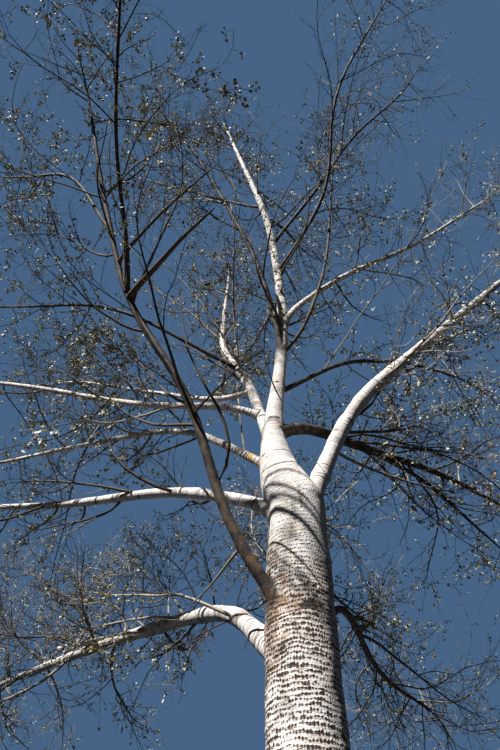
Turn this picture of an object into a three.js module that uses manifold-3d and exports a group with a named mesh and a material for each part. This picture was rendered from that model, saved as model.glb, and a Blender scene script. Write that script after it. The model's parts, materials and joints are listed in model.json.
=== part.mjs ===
// White poplar, a whole tree in thin leaf: a leaning trunk that forks, tapering boughs,
// and a mass of twigs and leaves at the end of every bough.
// Lengths in the tables are metres and angles are degrees; the solids are millimetres.
// +Z is up, +X is to the right of the viewer and +Y runs away from the viewer.
// The origin is the centre of the flat cut at ground level.
import * as THREE from "three";
import { mergeVertices } from "three/addons/utils/BufferGeometryUtils.js";
import Module from "manifold-3d";

const wasm = await Module();
wasm.setup();

// General sizes
const MM = 1000;
const JOINT_GAP = 0.3;
const PATH_STEPS = 80;
const STATION_POWER = 1.5;
const TAPER_POWER = 0.7;
const GOLDEN_ANGLE = THREE.MathUtils.degToRad(137.5);
const UP = new THREE.Vector3(0, 0, 1);
const DIRECTION_STEP = 0.02;
const MERGE_TOLERANCE = 1e-3;
const GROUND_CUT = 4;

// Trunk: diameters, root flare and the cut at the ground
const TRUNK = {
  length: 4.0,
  headings: [0, 0],
  rises: [91.5, 88.5],
  base: 0.445,
  tip: 0.334,
  flare: 0.14,
  flareHeight: 0.26,
  lobes: 5,
  lobeDepth: 0.16,
  lobeHeight: 0.34,
  lobeTurn: 0.6,
  below: 0.1,
  sides: 15,
  steps: 14,
};

// Each bough leaves its parent at a distance along the parent's middle line.
// Headings turn from +X towards +Y, rises are above level, and both are spread along the
// bough with the stations closer together near its foot. The solid bough ends at `bare`,
// and its mass of twigs carries the same line on to `length`. `brown` marks the thick
// boughs that still have brown bark.
const BOUGHS = [
  { name: "leader", from: "trunk", at: 4.0, length: 9.4, bare: 7.7, base: 0.11, tip: 0.034,
    swell: 2.05, swellReach: 0.54, sunk: 0.16, sides: 8, steps: 15, twigs: 10, reach: 1.25,
    headings: [172, 173, 176, 179, 180], rises: [67, 97, 88, 81, 81] },
  { name: "right_fork", from: "trunk", at: 3.6, length: 7.4, bare: 5.0, base: 0.135, tip: 0.028,
    swell: 0.4, swellReach: 0.3, sides: 8, steps: 11, twigs: 11, reach: 1.5,
    headings: [7, 15, 9, 5, 5], rises: [80, 68, 50, 49, 48] },
  { name: "left_low", from: "trunk", at: 2.83, length: 6.2, bare: 4.0, base: 0.132, tip: 0.02,
    sides: 8, steps: 11, twigs: 11, reach: 1.4,
    headings: [146, 110, 134, 138, 139], rises: [60, 41, 12, 6, 0] },
  { name: "left_fork", from: "trunk", at: 3.75, length: 5.9, bare: 3.6, base: 0.095, tip: 0.02,
    sides: 8, steps: 9, twigs: 11, reach: 1.35,
    headings: [170, 144, 148, 158, 161], rises: [65, 34, 18, 17, 17] },
  { name: "left_mid", from: "leader", at: 0.3, length: 5.4, bare: 3.2, base: 0.062, tip: 0.018,
    twigs: 10, reach: 1.25,
    headings: [160, 152, 148, 153, 159], rises: [50, 46, 20, 13, 14] },
  { name: "left_leader", from: "leader", at: 0.6, length: 5.8, bare: 4.0, base: 0.085, tip: 0.018,
    swell: 0.5, sides: 8, steps: 10, twigs: 10, reach: 1.2,
    headings: [154, 142, 128, 96, 88, 96], rises: [72, 77, 65, 73, 79, 83] },
  { name: "left_high", from: "left_leader", at: 0.4, length: 5.2, bare: 3.1, base: 0.06, tip: 0.018,
    twigs: 10, reach: 1.15,
    headings: [179, 163, 167, 166, 166], rises: [31, 19, 27, 23, 22] },
  { name: "left_upper", from: "left_leader", at: 0.8, length: 4.6, bare: 2.8, base: 0.047, tip: 0.018,
    twigs: 10, reach: 1.15,
    headings: [142, 147, 147, 145], rises: [17, 39, 40, 29] },
  { name: "left_crown", from: "left_leader", at: 1.3, length: 4.2, bare: 2.4, base: 0.036, tip: 0.018,
    twigs: 10, reach: 1.15,
    headings: [192, 192, 161, 163], rises: [32, 30, 26, 30] },
  { name: "front_left", from: "trunk", at: 3.1, length: 6.4, bare: 4.5, base: 0.071, tip: 0.022,
    swell: 0.3, sides: 7, steps: 12, twigs: 9, reach: 1.25, brown: true,
    headings: [198, 201, 221, 202, 231, 241, 236], rises: [52, 56, 68, 56, 65, 63, 59] },
  { name: "front_side", from: "front_left", at: 2.9, length: 3.5, bare: 1.6, base: 0.036, tip: 0.018,
    twigs: 10, reach: 1.15,
    headings: [274, 260, 273, 274], rises: [44, 39, 38, 37] },
  { name: "front_far", from: "front_left", at: 3.6, length: 3.2, bare: 1.5, base: 0.032, tip: 0.018,
    twigs: 9, reach: 1.1,
    headings: [207, 197, 157, 168], rises: [57, 62, 43, 40] },
  { name: "front_high", from: "leader", at: 1.75, length: 5.2, bare: 3.5, base: 0.052, tip: 0.018,
    twigs: 10, reach: 1.2, brown: true,
    headings: [255, 233, 212, 210, 193], rises: [74, 73, 67, 65, 54] },
  { name: "front_right", from: "leader", at: 1.75, length: 4.2, bare: 2.6, base: 0.035, tip: 0.018,
    twigs: 10, reach: 1.1,
    headings: [-12, -23, -51, -60], rises: [49, 72, 79, 74] },
  { name: "right_back", from: "leader", at: 0.7, length: 6.4, bare: 4.0, base: 0.09, tip: 0.02,
    sides: 8, steps: 10, twigs: 9, reach: 1.35, brown: true,
    headings: [25, 48, 45, 47, 46], rises: [48, 26, 25, 20, 18] },
  { name: "right_back_low", from: "right_back", at: 1.0, length: 4.8, bare: 2.8, base: 0.052, tip: 0.018,
    twigs: 9, reach: 1.15, brown: true,
    headings: [43, 48, 52, 49], rises: [23, 20, 11, 8] },
  { name: "right_low", from: "trunk", at: 2.85, length: 5.4, bare: 3.3, base: 0.055, tip: 0.018,
    twigs: 10, reach: 1.3, brown: true,
    headings: [50, 67, 71, 59, 68], rises: [64, 46, 3, 10, 1] },
  { name: "right_mid", from: "leader", at: 1.2, length: 5.2, bare: 3.1, base: 0.042, tip: 0.018,
    twigs: 10, reach: 1.2,
    headings: [25, 26, 34, 38, 46], rises: [49, 50, 36, 28, 17] },
  { name: "right_high", from: "leader", at: 2.2, length: 5.8, bare: 3.8, base: 0.066, tip: 0.018,
    twigs: 9, reach: 1.3,
    headings: [-6, 7, 8, -1, -1], rises: [70, 54, 45, 48, 47] },
  { name: "top_right", from: "leader", at: 4.0, length: 4.8, bare: 3.0, base: 0.044, tip: 0.018,
    twigs: 10, reach: 1.15,
    headings: [-27, -28, -36, -19, -43], rises: [59, 54, 55, 49, 59] },
  { name: "top_front", from: "leader", at: 3.3, length: 5.2, bare: 3.3, base: 0.042, tip: 0.018,
    twigs: 10, reach: 1.15,
    headings: [-38, -46, -82, -47, -44], rises: [44, 45, 56, 50, 51] },
  { name: "top_left", from: "leader", at: 5.2, length: 3.8, bare: 2.0, base: 0.04, tip: 0.018,
    twigs: 10, reach: 1.1,
    headings: [150, 168, 172, 168], rises: [52, 50, 46, 50] },
  { name: "top_back", from: "leader", at: 4.8, length: 3.8, bare: 2.0, base: 0.04, tip: 0.018,
    twigs: 10, reach: 1.1,
    headings: [60, 62, 68, 62], rises: [60, 55, 52, 52] },
  { name: "back_high", from: "leader", at: 2.7, length: 4.8, bare: 2.8, base: 0.052, tip: 0.018,
    twigs: 10, reach: 1.25,
    headings: [90, 96, 100, 94], rises: [60, 48, 42, 40] },
  { name: "back_low", from: "leader", at: 0.25, length: 5.4, bare: 3.2, base: 0.075, tip: 0.018,
    twigs: 9, reach: 1.35,
    headings: [85, 84, 86, 92], rises: [55, 34, 26, 20] },
];

// A bough swells towards its foot; the collar reaches past its parent's surface
const BOUGH_SWELL = 0.45;
const COLLAR_POWER = 1.5;
const COLLAR_REACH = 0.9;
const BOUGH_SIDES = 6;
const BOUGH_STEPS = 8;
const BOUGH_CROWDING = 1.35;

// Twigs of a mass: side twigs wind up the stem, and each carries finer twigs
const STEM_SIDES = 4;
const STEM_STEPS = 4;
const STEM_POINTS = 6;
const STEM_START = 0.04;
const TWIG = {
  sides: 3,
  steps: 2,
  placeStart: 0.35,
  placePlay: 0.3,
  spreadLow: 62,
  spreadHigh: 36,
  spreadPlay: 18,
  shorter: 0.42,
  lengthLow: 0.78,
  lengthPlay: 0.44,
  bends: [0.35, 0.35, 0.3],
  lift: 0.42,
  share: 0.48,
  taper: 0.5,
  probes: 8,
  fineSteps: 1,
  fineAt: 0.34,
  fineLength: 0.5,
  fineLow: 0.8,
  finePlay: 0.4,
  fineSpread: 48,
  fineProbes: 5,
};
const FIRST_SEED = 101;
const UPRIGHT = 0.2;

// Room left between a mass and its neighbours, and between twigs and limbs
const SPACE_MARGIN = 0.045;
const LIMB_MARGIN = 0.012;
const PROBE_SPACING = 0.25;

// Leaves: broad lobed blades on long stalks, each one standing for a spray
const LEAF = {
  length: 0.2,
  width: 0.16,
  thickness: 0.006,
  play: 0.3,
  place: 0.93,
  spread: 42,
};

// White bark on the trunk and thick boughs, brown bark on boughs thinner than this
const YOUNG_BELOW = 0.045;
const FINISHES = {
  white: { color: 0xd9d2c6, roughness: 0.7, metalness: 0 },
  young: { color: 0x8b8172, roughness: 0.75, metalness: 0 },
  foliage: { color: 0x6f7345, roughness: 0.8, metalness: 0 },
};

// A repeatable source of random numbers from 0 to 1
function seededRandom(seed) {
  let state = seed >>> 0;
  return () => {
    state = (state + 0x6d2b79f5) >>> 0;
    let mixed = Math.imul(state ^ (state >>> 15), state | 1);
    mixed ^= mixed + Math.imul(mixed ^ (mixed >>> 7), mixed | 61);
    return ((mixed ^ (mixed >>> 14)) >>> 0) / 4294967296;
  };
}

// The value of a list of stations at a fraction of the length, eased between stations
function station(values, fraction) {
  const place = Math.min(Math.max(fraction, 0), 1) ** (1 / STATION_POWER) * (values.length - 1);
  const low = Math.min(Math.floor(place), values.length - 2);
  const ease = THREE.MathUtils.smoothstep(place - low, 0, 1);
  return THREE.MathUtils.lerp(values[low], values[low + 1], ease);
}

function heading(headingDegrees, riseDegrees) {
  const turn = THREE.MathUtils.degToRad(headingDegrees);
  const rise = THREE.MathUtils.degToRad(riseDegrees);
  const level = Math.cos(rise);
  return new THREE.Vector3(level * Math.cos(turn), level * Math.sin(turn), Math.sin(rise));
}

// A middle line with points found by distance along it; rings set along it crowd towards
// its foot as the power rises above 1
class MiddleLine extends THREE.Curve {
  constructor(points, crowding = 1) {
    super();
    this.points = points;
    this.crowding = crowding;
    this.along = [0];
    for (let i = 1; i < points.length; i += 1) {
      this.along.push(this.along[i - 1] + points[i].distanceTo(points[i - 1]));
    }
    this.length = this.along[this.along.length - 1];
  }

  at(distance) {
    const wanted = Math.min(Math.max(distance, 0), this.length);
    let i = 1;
    while (i < this.along.length - 1 && this.along[i] < wanted) i += 1;
    const span = this.along[i] - this.along[i - 1];
    return this.points[i - 1].clone().lerp(this.points[i], (wanted - this.along[i - 1]) / span);
  }

  direction(distance) {
    return this.at(distance + DIRECTION_STEP).sub(this.at(distance - DIRECTION_STEP)).normalize();
  }

  ringDistance(fraction) {
    return this.length * fraction ** this.crowding;
  }

  getPoint(fraction) {
    return this.at(this.ringDistance(fraction)).multiplyScalar(MM);
  }

  getPointAt(fraction) {
    return this.getPoint(fraction);
  }

  getTangentAt(fraction) {
    return this.getTangent(fraction);
  }

  part(from, to, steps) {
    const points = [];
    for (let i = 0; i <= steps; i += 1) points.push(this.at(from + ((to - from) * i) / steps));
    return new MiddleLine(points);
  }
}

function growLine(start, length, headings, rises) {
  const points = [start.clone()];
  for (let i = 0; i < PATH_STEPS; i += 1) {
    const fraction = (i + 0.5) / PATH_STEPS;
    const step = heading(station(headings, fraction), station(rises, fraction));
    points.push(points[i].clone().addScaledVector(step, length / PATH_STEPS));
  }
  return new MiddleLine(points);
}

function trunkRadius(distance) {
  const taper = THREE.MathUtils.lerp(TRUNK.base, TRUNK.tip, distance / TRUNK.length);
  return 0.5 * (taper + TRUNK.flare * Math.exp(-Math.max(distance, 0) / TRUNK.flareHeight));
}

function trunkLobe(distance, angle) {
  const depth = TRUNK.lobeDepth * Math.exp(-Math.max(distance, 0) / TRUNK.lobeHeight);
  return 1 + depth * Math.cos(TRUNK.lobes * angle + TRUNK.lobeTurn);
}

function boughRadius(bough, distance) {
  const left = Math.max(1 - distance / bough.length, 0) ** TAPER_POWER;
  const fade = Math.exp(-((distance / bough.swellReach) ** COLLAR_POWER));
  const collar = bough.swell * bough.base * fade;
  return 0.5 * (bough.tip + (bough.base - bough.tip) * left + collar);
}

// Limbs by name: the middle line and the radius at each distance
const limbs = new Map();
limbs.set("trunk", {
  line: growLine(new THREE.Vector3(), TRUNK.length, TRUNK.headings, TRUNK.rises),
  radius: trunkRadius,
  solidTo: TRUNK.length,
});
for (const bough of BOUGHS) {
  const parent = limbs.get(bough.from);
  bough.swell ??= BOUGH_SWELL;
  bough.swellReach ??= parent.radius(bough.at) + COLLAR_REACH * bough.base;
  limbs.set(bough.name, {
    line: growLine(parent.line.at(bough.at), bough.length, bough.headings, bough.rises),
    radius: (distance) => boughRadius(bough, distance),
    solidTo: bough.bare,
  });
}

// Solids
function bareMesh(geometry) {
  const open = geometry.clone();
  open.deleteAttribute("normal");
  open.deleteAttribute("uv");
  return mergeVertices(open, MERGE_TOLERANCE);
}

function solidFrom(geometry) {
  const bare = bareMesh(geometry);
  return new wasm.Manifold(new wasm.Mesh({
    numProp: 3,
    vertProperties: Float32Array.from(bare.attributes.position.array),
    triVerts: Uint32Array.from(bare.index.array),
  }));
}

function geometryFrom(solid) {
  const mesh = solid.getMesh();
  const geometry = new THREE.BufferGeometry();
  const positions = Float32Array.from(mesh.vertProperties);
  geometry.setAttribute("position", new THREE.BufferAttribute(positions, 3));
  geometry.setIndex(new THREE.BufferAttribute(Uint32Array.from(mesh.triVerts), 1));
  geometry.computeVertexNormals();
  return geometry;
}

// The largest piece of a solid, so that a loose scrap left by a cut is dropped
function largestPiece(solid) {
  const pieces = solid.decompose().sort((a, b) => b.volume() - a.volume());
  return pieces[0];
}

// A section of radius 1 carried along the line, then widened ring by ring to its radius
function taperedTube(line, radiusAt, sides, steps, lobeAt = () => 1) {
  const section = new THREE.Shape();
  for (let i = 0; i < sides; i += 1) {
    const angle = (2 * Math.PI * i) / sides;
    const corner = [Math.cos(angle), Math.sin(angle)];
    if (i === 0) section.moveTo(...corner);
    else section.lineTo(...corner);
  }
  section.closePath();
  const options = { steps, bevelEnabled: false, extrudePath: line };
  const geometry = bareMesh(new THREE.ExtrudeGeometry(section, options));
  const rings = line.getSpacedPoints(steps);
  const positions = geometry.attributes.position;
  const point = new THREE.Vector3();
  for (let i = 0; i < positions.count; i += 1) {
    point.fromBufferAttribute(positions, i);
    let nearest = 0;
    rings.forEach((ring, index) => {
      if (ring.distanceTo(point) < rings[nearest].distanceTo(point)) nearest = index;
    });
    const distance = line.ringDistance(nearest / steps);
    const offset = point.clone().sub(rings[nearest]).normalize();
    const lobe = lobeAt(distance, Math.atan2(offset.y, offset.x));
    point.copy(rings[nearest]).addScaledVector(offset, radiusAt(distance) * lobe * MM);
    positions.setXYZ(i, point.x, point.y, point.z);
  }
  return solidFrom(geometry);
}

function groundBlock() {
  const size = GROUND_CUT * MM;
  const block = new THREE.BoxGeometry(size, size, size);
  block.translate(0, 0, -size / 2);
  return solidFrom(block);
}

// The trunk runs a little below the ground before the ground's cut, so the cut is flat
function trunkSolid(grow) {
  const line = limbs.get("trunk").line;
  const foot = line.points[0].clone().addScaledVector(line.direction(0), -TRUNK.below);
  const top = line.at(line.length).addScaledVector(line.direction(line.length), grow);
  const whole = new MiddleLine([foot, ...line.points, top]);
  const up = (distance) => distance - TRUNK.below;
  return taperedTube(
    whole,
    (distance) => trunkRadius(up(distance)) + grow,
    TRUNK.sides,
    TRUNK.steps,
    (distance, angle) => trunkLobe(up(distance), angle),
  ).subtract(groundBlock());
}

function boughSolid(bough, grow) {
  const limb = limbs.get(bough.name);
  const sunk = bough.sunk ?? 0;
  const points = limb.line.part(0, bough.bare + grow, PATH_STEPS).points;
  if (sunk > 0) points.unshift(points[0].clone().addScaledVector(UP, -sunk));
  return taperedTube(
    new MiddleLine(points, BOUGH_CROWDING),
    (distance) => limb.radius(Math.max(distance - sunk, 0)) + grow,
    bough.sides ?? BOUGH_SIDES,
    bough.steps ?? BOUGH_STEPS,
  );
}

const gap = JOINT_GAP / MM;
const group = new THREE.Group();

function addNode(name, solid, finish) {
  const mesh = new THREE.Mesh(geometryFrom(solid), new THREE.MeshStandardMaterial(finish));
  mesh.name = name;
  group.add(mesh);
}

// Boughs are cut back to whatever they grow from or beside, with the gap between
addNode("trunk", trunkSolid(0), FINISHES.white);
const cutters = [trunkSolid(gap)];
for (const bough of BOUGHS) {
  let solid = boughSolid(bough, 0);
  for (const cutter of cutters) solid = solid.subtract(cutter);
  const white = bough.base > YOUNG_BELOW && !bough.brown;
  const finish = white ? FINISHES.white : FINISHES.young;
  addNode(`${bough.name}_bough`, largestPiece(solid), finish);
  cutters.push(boughSolid(bough, gap));
}

// The stem of a mass starts square to its bough's end, the gap away, and carries the line on
function stemLine(bough) {
  const line = limbs.get(bough.name).line;
  const end = line.at(bough.bare);
  const aim = end.clone().sub(line.at(bough.bare - bough.bare / PATH_STEPS)).normalize();
  const points = line.part(bough.bare, bough.length, STEM_POINTS).points.slice(1);
  return new MiddleLine([
    end.clone().addScaledVector(aim, gap),
    end.clone().addScaledVector(aim, gap + STEM_START),
    ...points,
  ]);
}

// The space of a mass is what lies nearer to its own stem than to any other
const stems = BOUGHS.map((bough) => ({ bough, line: stemLine(bough) }));

function distanceToLine(point, points) {
  const segment = new THREE.Line3();
  const nearest = new THREE.Vector3();
  let best = Infinity;
  for (let i = 1; i < points.length; i += 1) {
    segment.set(points[i - 1], points[i]).closestPointToPoint(point, true, nearest);
    best = Math.min(best, nearest.distanceTo(point));
  }
  return best;
}

function insideSpace(point, own) {
  const limit = distanceToLine(point, own.line.points) + SPACE_MARGIN;
  return stems.every((stem) => stem === own || distanceToLine(point, stem.line.points) > limit);
}

const limbProbes = [...limbs.values()].map((limb) => {
  const count = Math.ceil(limb.solidTo / PROBE_SPACING);
  const line = limb.line.part(0, limb.solidTo, count);
  const widths = line.points.map((_, i) => limb.radius((limb.solidTo * i) / count));
  return { points: line.points, widths };
});

function clearOfLimbs(point, radius) {
  const segment = new THREE.Line3();
  const nearest = new THREE.Vector3();
  for (const probe of limbProbes) {
    for (let i = 1; i < probe.points.length; i += 1) {
      segment.set(probe.points[i - 1], probe.points[i]).closestPointToPoint(point, true, nearest);
      const room = nearest.distanceTo(point) - Math.max(probe.widths[i - 1], probe.widths[i]);
      if (room < radius + LIMB_MARGIN) return false;
    }
  }
  return true;
}

function fits(points, radius, own, skip = 0) {
  return points.slice(skip).every((point) => insideSpace(point, own) && clearOfLimbs(point, radius));
}

// A direction that leans away from the parent's direction by the spread, round it by the turn
function leanAway(direction, spreadDegrees, turn) {
  const side = UP.clone().cross(direction);
  if (side.length() < UPRIGHT) side.set(1, 0, 0);
  side.normalize();
  const around = side.applyAxisAngle(direction, turn);
  const spread = THREE.MathUtils.degToRad(spreadDegrees);
  return direction.clone().multiplyScalar(Math.cos(spread)).addScaledVector(around, Math.sin(spread));
}

// A twig starts straight, then bends upward, as poplar twigs do towards the light
function twigLine(start, direction, length) {
  const points = [start.clone()];
  const aim = direction.clone();
  TWIG.bends.forEach((share, index) => {
    if (index > 0) aim.addScaledVector(UP, TWIG.lift).normalize();
    points.push(points[index].clone().addScaledVector(aim, length * share));
  });
  return new MiddleLine(points);
}

function twigRadius(radius, fraction) {
  return radius * (1 - TWIG.taper * fraction);
}

// The rule for a mass: every random draw is made whether or not the twig finds room
function growMass(own, seed) {
  const random = seededRandom(seed);
  const { bough, line } = own;
  const limb = limbs.get(bough.name);
  const stemRadius = (distance) => limb.radius(bough.bare + distance);
  const twigs = [];
  for (let i = 0; i < bough.twigs; i += 1) {
    const place = (i + TWIG.placeStart + TWIG.placePlay * random()) / bough.twigs;
    const turn = i * GOLDEN_ANGLE + random();
    const play = TWIG.spreadPlay * (random() - 0.5);
    const spread = THREE.MathUtils.lerp(TWIG.spreadLow, TWIG.spreadHigh, place) + play;
    const share = TWIG.lengthLow + TWIG.lengthPlay * random();
    const length = bough.reach * (1 - TWIG.shorter * place) * share;
    const distance = place * line.length;
    const aim = leanAway(line.direction(distance), spread, turn);
    const side = twigLine(line.at(distance), aim, length);
    const radius = TWIG.share * stemRadius(distance);
    const kept = fits(side.part(0, length, TWIG.probes).points, radius, own, 1);
    if (kept) twigs.push({ line: side, radius, steps: TWIG.steps });
    const from = TWIG.fineAt * length;
    const fineAim = leanAway(side.direction(from), TWIG.fineSpread, turn + 2 * Math.PI * random());
    const fineLength = length * TWIG.fineLength * (TWIG.fineLow + TWIG.finePlay * random());
    const fine = twigLine(side.at(from), fineAim, fineLength);
    const fineRadius = TWIG.share * twigRadius(radius, TWIG.fineAt);
    if (kept && fits(fine.part(0, fineLength, TWIG.fineProbes).points, fineRadius, own, 1)) {
      twigs.push({ line: fine, radius: fineRadius, steps: TWIG.fineSteps });
    }
  }
  return { stemRadius, twigs, random };
}

// An eight-faced blade, its root sunk in to the twig's middle line
function leafSolid(root, direction, turn, size) {
  const length = LEAF.length * size * MM;
  const blade = new THREE.OctahedronGeometry(1);
  blade.scale(length / 2, (LEAF.width * size * MM) / 2, (LEAF.thickness * size * MM) / 2);
  blade.translate(length / 2, 0, 0);
  blade.rotateX(turn);
  const aim = new THREE.Quaternion().setFromUnitVectors(new THREE.Vector3(1, 0, 0), direction);
  blade.applyQuaternion(aim);
  blade.translate(root.x * MM, root.y * MM, root.z * MM);
  return blade;
}

function leafCorners(blade) {
  const corners = [];
  const positions = bareMesh(blade).attributes.position;
  for (let i = 0; i < positions.count; i += 1) {
    corners.push(new THREE.Vector3().fromBufferAttribute(positions, i).divideScalar(MM));
  }
  return corners;
}

function massSolid(own, seed) {
  const { stemRadius, twigs, random } = growMass(own, seed);
  const pieces = [taperedTube(own.line, stemRadius, STEM_SIDES, STEM_STEPS)];
  for (const twig of twigs) {
    const taper = (distance) => twigRadius(twig.radius, distance / twig.line.length);
    pieces.push(taperedTube(twig.line, taper, TWIG.sides, twig.steps));
  }
  for (const twig of twigs) {
    const root = twig.line.at(LEAF.place * twig.line.length);
    const along = twig.line.direction(LEAF.place * twig.line.length);
    const aim = leanAway(along, LEAF.spread, 2 * Math.PI * random());
    const size = 1 + LEAF.play * (random() - 0.5);
    const blade = leafSolid(root, aim, Math.PI * random(), size);
    if (fits(leafCorners(blade), 0, own)) pieces.push(solidFrom(blade));
  }
  return largestPiece(wasm.Manifold.union(pieces));
}

stems.forEach((own, index) => {
  addNode(`${own.bough.name}_mass`, massSolid(own, FIRST_SEED + index), FINISHES.foliage);
});

export default group;
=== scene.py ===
"""White poplar in thin leaf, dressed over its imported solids.

The limbs follow the same middle lines and tapers as the solids. Bark meshes with relief
stand for the trunk and the boughs, and each mass of twigs is grown again by the same rule
and carried on to finer twigs and leaves. Lengths are metres, +Z is up, and the
origin is the centre of the flat cut at ground level.
"""

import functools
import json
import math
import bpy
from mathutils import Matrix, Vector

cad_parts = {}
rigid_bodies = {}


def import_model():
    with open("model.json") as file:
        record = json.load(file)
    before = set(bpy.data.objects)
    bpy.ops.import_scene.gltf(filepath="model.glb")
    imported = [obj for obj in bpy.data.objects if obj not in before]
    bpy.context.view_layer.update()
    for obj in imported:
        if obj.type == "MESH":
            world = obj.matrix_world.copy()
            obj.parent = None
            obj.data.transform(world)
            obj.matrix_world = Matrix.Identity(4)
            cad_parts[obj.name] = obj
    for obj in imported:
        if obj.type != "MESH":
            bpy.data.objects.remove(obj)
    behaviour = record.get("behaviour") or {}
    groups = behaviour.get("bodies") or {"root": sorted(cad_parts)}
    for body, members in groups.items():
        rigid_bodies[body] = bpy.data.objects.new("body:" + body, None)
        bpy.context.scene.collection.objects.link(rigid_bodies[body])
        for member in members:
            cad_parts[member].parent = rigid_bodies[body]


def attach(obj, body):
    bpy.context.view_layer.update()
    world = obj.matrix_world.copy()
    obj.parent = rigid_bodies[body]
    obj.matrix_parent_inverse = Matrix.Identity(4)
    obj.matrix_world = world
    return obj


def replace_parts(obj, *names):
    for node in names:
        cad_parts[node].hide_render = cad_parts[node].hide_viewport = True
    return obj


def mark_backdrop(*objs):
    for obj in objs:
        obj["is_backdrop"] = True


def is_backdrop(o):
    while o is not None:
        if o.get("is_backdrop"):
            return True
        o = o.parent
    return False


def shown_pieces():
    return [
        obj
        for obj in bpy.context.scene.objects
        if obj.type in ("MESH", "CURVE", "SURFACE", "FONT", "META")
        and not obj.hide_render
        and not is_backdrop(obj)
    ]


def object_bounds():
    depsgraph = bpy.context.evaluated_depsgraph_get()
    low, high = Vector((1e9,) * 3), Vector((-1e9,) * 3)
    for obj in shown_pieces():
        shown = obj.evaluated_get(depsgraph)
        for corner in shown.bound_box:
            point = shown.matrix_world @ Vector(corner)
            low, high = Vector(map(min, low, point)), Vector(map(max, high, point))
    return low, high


bl_info = {
    "name": "White poplar tree",
    "version": (1, 0, 0),
    "blender": (4, 5, 0),
    "location": "3D View > Sidebar > Poplar",
    "description": "Bark, boughs, twigs and leaves of a white poplar, grown over its solids",
    "category": "Object",
}

import bpy
import numpy as np
from mathutils import Vector

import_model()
SOLIDS_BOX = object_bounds()

UP = np.array([0.0, 0.0, 1.0])
# Stands in for a length of nothing where it is divided by
TINY = 1e-12

# The limbs: the sizes of the solids, in the same words

PATH_STEPS = 80
STATION_POWER = 1.5
TAPER_POWER = 0.7
COLLAR_POWER = 1.5
COLLAR_REACH = 0.9
BOUGH_SWELL = 0.45
DIRECTION_STEP = 0.02
GOLDEN_ANGLE = math.radians(137.5)
YOUNG_BELOW = 0.045

TRUNK = {
    "length": 4.0,
    "headings": [0, 0],
    "rises": [91.5, 88.5],
    "base": 0.445,
    "tip": 0.334,
    "flare": 0.14,
    "flare_height": 0.26,
    "lobes": 5,
    "lobe_depth": 0.16,
    "lobe_height": 0.34,
    "lobe_turn": 0.6,
}

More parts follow.
